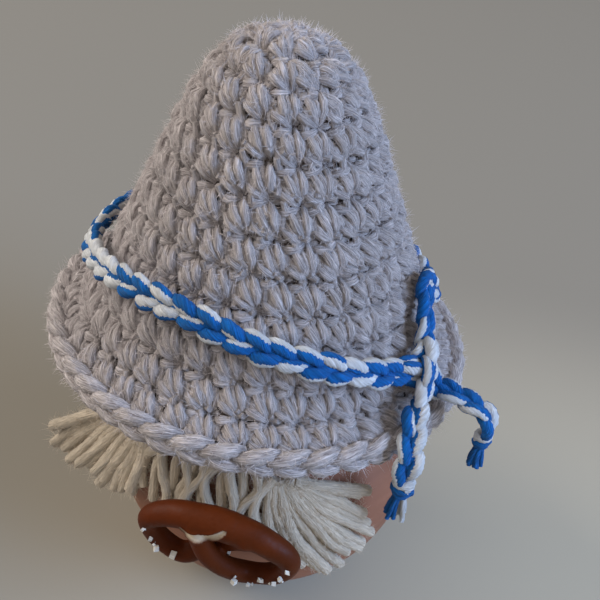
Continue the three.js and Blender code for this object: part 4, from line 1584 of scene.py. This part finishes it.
def bunch_strands(ends, roots, extra, curl, chance):
    """A bunch from its roots under the hat's brim to cut ends, with a few strands between them."""
    lines = YarnLines()
    count = len(ends) + extra
    for k in range(count):
        share = k / (count - 1)
        place = share * (len(ends) - 1)
        first = min(int(place), len(ends) - 2)
        start, stop = np.array(ends[first:first + 2], float)
        side, down, above = start + (stop - start) * (place - first)
        side += chance.uniform(-2, 2)
        down += chance.uniform(-3, 3)
        above *= chance.uniform(0.9, 1.1)
        root = roots[0] + (roots[1] - roots[0]) * share + chance.uniform(-1, 1)
        marks = []
        for part in STRAND_MARKS:
            bend = (curl * (share - 0.4) + chance.uniform(-1, 1)) * math.sin(math.pi * part)
            height = STRAND_LIFT + (above * MM - STRAND_LIFT) * part ** 1.3
            drop = HAIR_ROOT + 1 + (down - HAIR_ROOT - 1) * part
            marks.append(on_head(root + (side - root) * part + bend, drop, height))
        lay_strand(lines, marks, BUNCH_STRAND, chance)
    return lines


def ball_line(reach, lowest, steps):
    """Radius and height down a ball, from its top to an angle."""
    line = []
    for step in range(steps + 1):
        turn = math.radians(lowest * step / steps)
        line.append((reach * math.sin(turn), reach * math.cos(turn)))
    return line


class MakeHair(bpy.types.Operator):
    """Lays the yarn hair: the cap under the hat, the fringe and the two bunches"""

    bl_idname = "gnome.make_hair"
    bl_label = "Hair"

    def execute(self, context):
        settings = context.scene.gnome_hair
        chance = random.Random(settings.seed)
        wool = yarn_material(
            "cream_yarn",
            settings.light,
            settings.dark,
            fineness=4.2,
            twist=HAIR_TWIST,
            relief=0.25 * MM,
            sheen=0.3,
        )
        loose = fluff_material("cream_yarn_fibres", settings.light)
        cap = cap_strands(chance)
        fringe = fringe_strands(chance)
        right = bunch_strands(RIGHT_ENDS, RIGHT_ROOTS, 3, -8, chance)
        left = bunch_strands(LEFT_ENDS, LEFT_ROOTS, 9, 4, chance)
        groups = (
            ("cap_yarn", cap, 0, ["hair_cap"]),
            ("fringe_yarn", fringe, FUZZ_LENGTH, FRINGE_NODES),
            ("right_yarn", right, FUZZ_LENGTH, ["hair_bunch_right"]),
            ("left_yarn", left, FRAYED_LENGTH, ["hair_bunch_left"]),
        )
        for name, lines, fibre_length, nodes in groups:
            piece = lines.piece(name, wool, **HAIR_FORM)
            dress(piece, "figure", "hair_yarn", *nodes)
            if fibre_length:
                fibres = fuzz(piece, loose, fibre_length, settings.seed, **HAIR_FUZZ)
                dress(fibres, "figure", "hair_yarn", *nodes)
        self.ground(loose)
        return {"FINISHED"}

    def ground(self, loose):
        """The layer of yarn that the cap's strands lie on."""
        over = ball_line(HEAD_RADIUS + HAIR_GROUND, HAIR_CAP_REACH, 24)
        under = ball_line(HEAD_RADIUS + TOUCH_GAP, HAIR_CAP_REACH, 24)
        piece = lathe("hair_ground", over + under[::-1], 64, np.array(HEAD_CENTRE))
        piece.data.materials.append(loose)
        dress(piece, "figure", "hair_yarn", "hair_cap")


# Head, pretzel and stuffing

class MakeHead(bpy.types.Operator):
    """Turns the painted ball of the head, with the small flat that it stands on"""

    bl_idname = "gnome.make_head"
    bl_label = "Head"

    def execute(self, context):
        settings = context.scene.gnome_figure
        flat = -HEAD_CENTRE.z
        foot = math.sqrt(HEAD_RADIUS ** 2 - flat ** 2)
        line = ball_line(HEAD_RADIUS, math.degrees(math.acos((flat + HEAD_EDGE) / HEAD_RADIUS)), 64)
        line += [
            (foot - 0.1 * MM, flat + 0.12 * MM),
            (foot - 0.6 * MM, flat),
            (foot * 0.5, flat),
            (0.0, flat),
        ]
        piece = lathe("head_ball", line, 96, np.array(HEAD_CENTRE))
        piece.data.materials.append(painted_wood_material("painted_wood", settings.head))
        dress(piece, "figure", "head_wood", "head")
        return {"FINISHED"}


def pretzel_frame():
    """The pretzel's across, up and forward, as its top leans out, and the way out from the ball."""
    out = outward(PRETZEL_SIDE)
    lean = math.radians(PRETZEL_LEAN)
    up = np.array((0, 0, math.cos(lean))) + out * math.sin(lean)
    across = outward(PRETZEL_SIDE + 90)
    forward = np.cross(across, up)
    turn = np.array(Matrix.Rotation(math.radians(PRETZEL_ROLL), 3, Vector(forward)))
    return turn @ across, turn @ up, forward, out


def pretzel_half(hand):
    """One half of the dough rope on the pretzel's own directions, from its belly round a lobe."""
    half = hand * (PRETZEL_WIDTH - PRETZEL_ARM * 1.15) / 2
    top = PRETZEL_HEIGHT / 2 - PRETZEL_BELLY / 2
    low = -PRETZEL_HEIGHT / 2 + PRETZEL_ARM / 2
    twist = hand * PRETZEL_ARM * 0.42
    return np.array([
        (-half * 0.15, top * 0.99, 0),
        (half * 0.15, top * 0.99, 0),
        (half * 0.58, top * 0.84, 0),
        (half * 0.98, top * 0.2, 0),
        (half * 0.84, low * 0.68, 0),
        (half * 0.46, low, 0.2 * MM),
        (half * 0.12, low * 0.5, 0.4 * MM + twist),
        (-half * 0.12, -low * 0.02, 0.6 * MM + twist),
        (-half * 0.36, top * 0.92, PRETZEL_BELLY * 0.18),
    ])


def dough_thickness(share):
    belly = math.cos(min(share / 0.4, 1) * math.pi / 2) ** 1.3
    return PRETZEL_ARM + (PRETZEL_BELLY - PRETZEL_ARM) * belly


def dough_rope(marks, steps, sides):
    """Rings of a rope of dough with round ends, as points and faces."""
    line = even_line(marks, steps)
    rings = []
    tangents = [unit(step) for step in np.gradient(line, axis=0)]
    for k, (centre, along) in enumerate(zip(line, tangents)):
        rings.append((centre, along, dough_thickness(k / steps) / 2))
    for end, sign in ((0, -1), (-1, 1)):
        centre, along, size = rings[end]
        cap = []
        for turn in (25, 50, 70, 85):
            angle = math.radians(turn)
            cap.append((centre + along * sign * size * math.sin(angle), along, size * math.cos(angle)))
        rings = rings + cap if sign > 0 else cap[::-1] + rings
    points = []
    for centre, along, size in rings:
        across = unit(np.cross((0, 0, 1), along))
        over = np.cross(along, across)
        for j in range(sides):
            turn = math.tau * j / sides
            points.append(centre + (across * math.cos(turn) + over * math.sin(turn)) * size)
    faces = [(a, d, c, b) for a, b, c, d in ring_faces(len(rings), sides)]
    faces.append(tuple(range(sides - 1, -1, -1)))
    faces.append(tuple((len(rings) - 1) * sides + j for j in range(sides)))
    return points, faces


class MakePretzel(bpy.types.Operator):
    """Bakes the pretzel with its open split, its salt and the dab of glue behind it"""

    bl_idname = "gnome.make_pretzel"
    bl_label = "Pretzel"

    def execute(self, context):
        settings = context.scene.gnome_figure
        piece = self.dough()
        piece.data.materials.append(dough_material("baked_dough", settings.crust, settings.crumb))
        dress(piece, "figure", "pretzel_clay", "pretzel")
        salt = self.salt()
        salt.data.materials.append(salt_material("coarse_salt", settings.salt))
        dress(salt, "figure", "salt", *SALT_GRAINS)
        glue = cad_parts["pretzel_glue"]
        glue.data.materials.clear()
        glue.data.materials.append(glue_material("dried_glue", srgb(216, 212, 200)))
        return {"FINISHED"}

    def dough(self):
        points = []
        faces = []
        for hand in (-1, 1):
            more, turned = dough_rope(pretzel_half(hand), 90, 24)
            faces.extend(tuple(len(points) + k for k in face) for face in turned)
            points.extend(more)
        piece = new_piece("pretzel_dough", points, faces)
        remesh = piece.modifiers.new("knead", "REMESH")
        remesh.mode = "VOXEL"
        remesh.voxel_size = 0.25 * MM
        smooth = piece.modifiers.new("prove", "SMOOTH")
        smooth.factor = 0.5
        smooth.iterations = 8
        keep_result(piece)
        self.split(piece.data)
        self.seat(piece.data)
        return shade_smooth(piece)

    def split(self, mesh):
        """Opens the crust along a crescent on the belly and marks the pale crumb in it."""
        count = len(mesh.vertices)
        places = np.empty(count * 3, np.float32)
        mesh.vertices.foreach_get("co", places)
        places = places.reshape(-1, 3).astype(float)
        normals = np.empty(count * 3, np.float32)
        mesh.vertex_normals.foreach_get("vector", normals)
        normals = normals.reshape(-1, 3)
        line = smooth_line(np.array(SPLIT_LINE) * MM, 30)
        nearest = np.full(count, 1000.0)
        for k, place in enumerate(line):
            width = SPLIT_WIDTH * math.sin(math.pi * (0.06 + 0.88 * k / (len(line) - 1))) ** 0.6
            apart = np.linalg.norm((places - place)[:, :2], axis=1)
            nearest = np.minimum(nearest, apart / width)
        opened = np.clip((1.0 - nearest) / 0.25 + 0.5, 0, 1)
        opened = opened * (normals[:, 2] > -0.5) * (places[:, 2] > 0.8 * MM)
        ridge = np.exp(-((nearest - 1.25) / 0.3) ** 2) * (places[:, 2] > 0)
        places = places + normals * (SPLIT_RIDGE * ridge - SPLIT_DEPTH * opened)[:, None]
        for index, place in enumerate(places):
            places[index] = place + normals[index] * noise.noise(Vector(place) * 260) * DOUGH_LUMP
        mesh.vertices.foreach_set("co", places.astype(np.float32).ravel())
        layer = mesh.attributes.new("split", "FLOAT", "POINT")
        layer.data.foreach_set("value", opened.astype(np.float32))

    def seat(self, mesh):
        """Turns the dough from its own directions to its place on the figure."""
        across, up, forward, out = pretzel_frame()
        low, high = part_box("pretzel")
        places = np.array([vertex.co for vertex in mesh.vertices])
        drop = places[:, 1] - (PRETZEL_HEIGHT - PRETZEL_BELLY) / 2
        placed = places[:, :1] * across + drop[:, None] * up + places[:, 2:] * forward
        placed[:, 2] += PRETZEL_BELLY_HEIGHT
        middle = (placed.min(0) + placed.max(0)) / 2
        placed += out * out.dot((np.array(low) + np.array(high)) / 2 - middle)
        mesh.vertices.foreach_set("co", placed.astype(np.float32).ravel())
        mesh.update()

    def salt(self):
        """A large grain of salt in each grain's place, and a crumb of salt near it."""
        chance = random.Random(21)
        points = []
        faces = []
        sides = ((0, 1, 3, 2), (4, 6, 7, 5), (0, 4, 5, 1), (2, 3, 7, 6), (0, 2, 6, 4), (1, 5, 7, 3))
        for grain in SALT_GRAINS:
            low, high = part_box(grain)
            middle = (low + high) / 2
            grains = [(middle, min(high - low) * chance.uniform(0.36, 0.5))]
            shift = Vector([chance.uniform(-0.8, 0.8) * MM for axis in range(3)])
            grains.append((middle + shift, chance.uniform(0.12, 0.22) * MM))
            for place, size in grains:
                turn = Matrix.Rotation(chance.uniform(0, 3), 3, Vector((1, chance.random(), 0.6)))
                faces.extend(tuple(len(points) + j for j in side) for side in sides)
                for corner in product((-1, 1), repeat=3):
                    points.append(place + turn @ (Vector(corner) * chance.uniform(0.55, 1.05) * size))
        piece = new_piece("salt", points, faces)
        merge_doubles(piece)
        return piece


class MakeStuffing(bpy.types.Operator):
    """Packs the loose wad of fibre that keeps the crown upright"""

    bl_idname = "gnome.make_stuffing"
    bl_label = "Stuffing"

    def execute(self, context):
        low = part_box("hat_stuffing")[0].z - HAT_PLACE.z
        line = []
        for radius, height in crown_line(INNER_FOOT, CROWN_HEIGHT - HAT_WALL, 60):
            if height > low + STUFFING_START:
                line.append((max(radius - STUFFING_GAP, 0), height - STUFFING_GAP))
        line[0] = (0.0, line[0][1])
        foot = line[-1][0]
        floor = low + 0.1 * MM
        for turn in (20, 45, 70, 90):
            angle = math.radians(turn)
            radius = foot - 1.2 * MM * (1 - math.cos(angle))
            line.append((radius, floor + 1.3 * MM * (1 - math.sin(angle))))
        line += [(foot * share, floor) for share in (0.75, 0.5, 0.25, 0.0)]
        piece = lathe("stuffing_wad", line, 96, np.array(HAT_PLACE), crown_lean)
        normals = [vertex.normal.copy() for vertex in piece.data.vertices]
        for vertex, normal in zip(piece.data.vertices, normals):
            lump = noise.noise(vertex.co * 230) + 0.5 * noise.noise(vertex.co * 600)
            vertex.co -= normal * (0.35 + 0.4 * lump) * MM
        piece.data.update()
        piece.data.materials.append(fluff_material("stuffing_fibre", srgb(232, 230, 224)))
        dress(piece, "filling", "stuffing", "hat_stuffing")
        return {"FINISHED"}


# Stage

class MakeStage(bpy.types.Operator):
    """Lays the floor and sets the lamps, the sky and the camera"""

    bl_idname = "gnome.make_stage"
    bl_label = "Stage"

    def execute(self, context):
        settings = context.scene.gnome_stage
        half = FLOOR_HALF
        corners = [(-half, -half, 0), (half, -half, 0), (half, half, 0), (-half, half, 0)]
        floor = new_piece("floor", corners, [(0, 1, 2, 3)])
        floor.data.materials.append(floor_material("pale_floor", settings.floor, settings.floor_beyond_light_pool))
        self.lamp("key_lamp", settings.key_power, *KEY_LAMP)
        self.lamp("fill_lamp", settings.fill_power, *FILL_LAMP)
        self.sky(context, settings)
        self.camera(context)
        context.scene.view_settings.view_transform = "Standard"
        return {"FINISHED"}

    def lamp(self, name, power, place, size, colour):
        light = bpy.data.lights.new(name, "AREA")
        light.shape = "DISK"
        light.size = size
        light.energy = power
        light.color = colour
        lamp = bpy.data.objects.new(name, light)
        lamp.location = place
        lamp.rotation_euler = (LAMP_AIM - lamp.location).to_track_quat("-Z", "Y").to_euler()
        bpy.context.scene.collection.objects.link(lamp)

    def sky(self, context, settings):
        world = bpy.data.worlds.new("sky")
        world.use_nodes = True
        tree = world.node_tree
        tree.nodes.clear()
        horizon = [level * tint for level, tint in zip(settings.floor_beyond_light_pool, SKY_TINT)]
        lit, seen = (
            wire(tree, "ShaderNodeBackground", {"Color": (*colour, 1), "Strength": settings.sky})
            for colour in (SKY_TINT, horizon)
        )
        path = node(tree, "ShaderNodeLightPath").outputs
        shown = math_node(tree, "MAXIMUM", path["Is Camera Ray"], path["Is Glossy Ray"])
        shown = math_node(tree, "MAXIMUM", shown, path["Is Transmission Ray"])
        mixed = wire(tree, "ShaderNodeMixShader", {0: shown, 1: lit, 2: seen})
        node(tree, "ShaderNodeOutputWorld", {0: mixed})
        context.scene.world = world

    def camera(self, context):
        lens = bpy.data.cameras.new("camera")
        lens.sensor_fit = "HORIZONTAL"
        lens.sensor_width = SENSOR_WIDTH
        lens.lens = PICTURE_FOCUS / PICTURE_SIDE * SENSOR_WIDTH
        lens.clip_start = 10 * MM
        camera = bpy.data.objects.new("camera", lens)
        context.scene.collection.objects.link(camera)
        across = math.radians(CAMERA_AZIMUTH)
        above = math.radians(CAMERA_ELEVATION)
        back = Vector((
            math.sin(across) * math.cos(above),
            -math.cos(across) * math.cos(above),
            math.sin(above),
        ))
        right = Vector((math.cos(across), math.sin(across), 0))
        turned = Matrix((right, back.cross(right), back)).transposed() @ Matrix.Rotation(
            math.radians(CAMERA_ROLL), 3, "Z")
        ray = Vector((
            (BRIM_PIXEL[0] - PICTURE_SIDE / 2) / PICTURE_FOCUS,
            (PICTURE_SIDE / 2 - BRIM_PIXEL[1]) / PICTURE_FOCUS,
            -1,
        ))
        framed = ray.rotation_difference(Vector((0, 0, -1))).to_matrix()
        camera.matrix_world = Matrix.Translation(CAMERA_AIM + back * CAMERA_DISTANCE) @ (
            turned @ framed).to_4x4()
        context.scene.camera = camera


class GnomePanel(bpy.types.Panel):
    """Buttons and settings for the figure's pieces"""

    bl_idname = "VIEW3D_PT_gnome"
    bl_label = "Gnome Figure"
    bl_space_type = "VIEW_3D"
    bl_region_type = "UI"
    bl_category = "Gnome"

    def draw(self, context):
        for group in SETTINGS:
            box = self.layout.box()
            settings = getattr(context.scene, group)
            for name in settings.bl_rna.properties.keys():
                if name not in {"rna_type", "name"}:
                    box.prop(settings, name)
        for maker in MAKERS:
            self.layout.operator(maker.bl_idname)


SETTINGS = {
    "gnome_hat": HatSettings,
    "gnome_cord": CordSettings,
    "gnome_hair": HairSettings,
    "gnome_figure": FigureSettings,
    "gnome_stage": StageSettings,
}
MAKERS = (MakeStage, MakeHead, MakeHair, MakePretzel, MakeStuffing, MakeHat, MakeCord)
CLASSES = (*SETTINGS.values(), *MAKERS, GnomePanel)


def register():
    for part in CLASSES:
        bpy.utils.register_class(part)
    for name, group in SETTINGS.items():
        setattr(bpy.types.Scene, name, bpy.props.PointerProperty(type=group))


def unregister():
    for name in SETTINGS:
        delattr(bpy.types.Scene, name)
    for part in reversed(CLASSES):
        bpy.utils.unregister_class(part)


def main():
    register()
    for maker in MAKERS:
        family, name = maker.bl_idname.split(".")
        getattr(getattr(bpy.ops, family), name)()


if __name__ == "__main__":
    main()
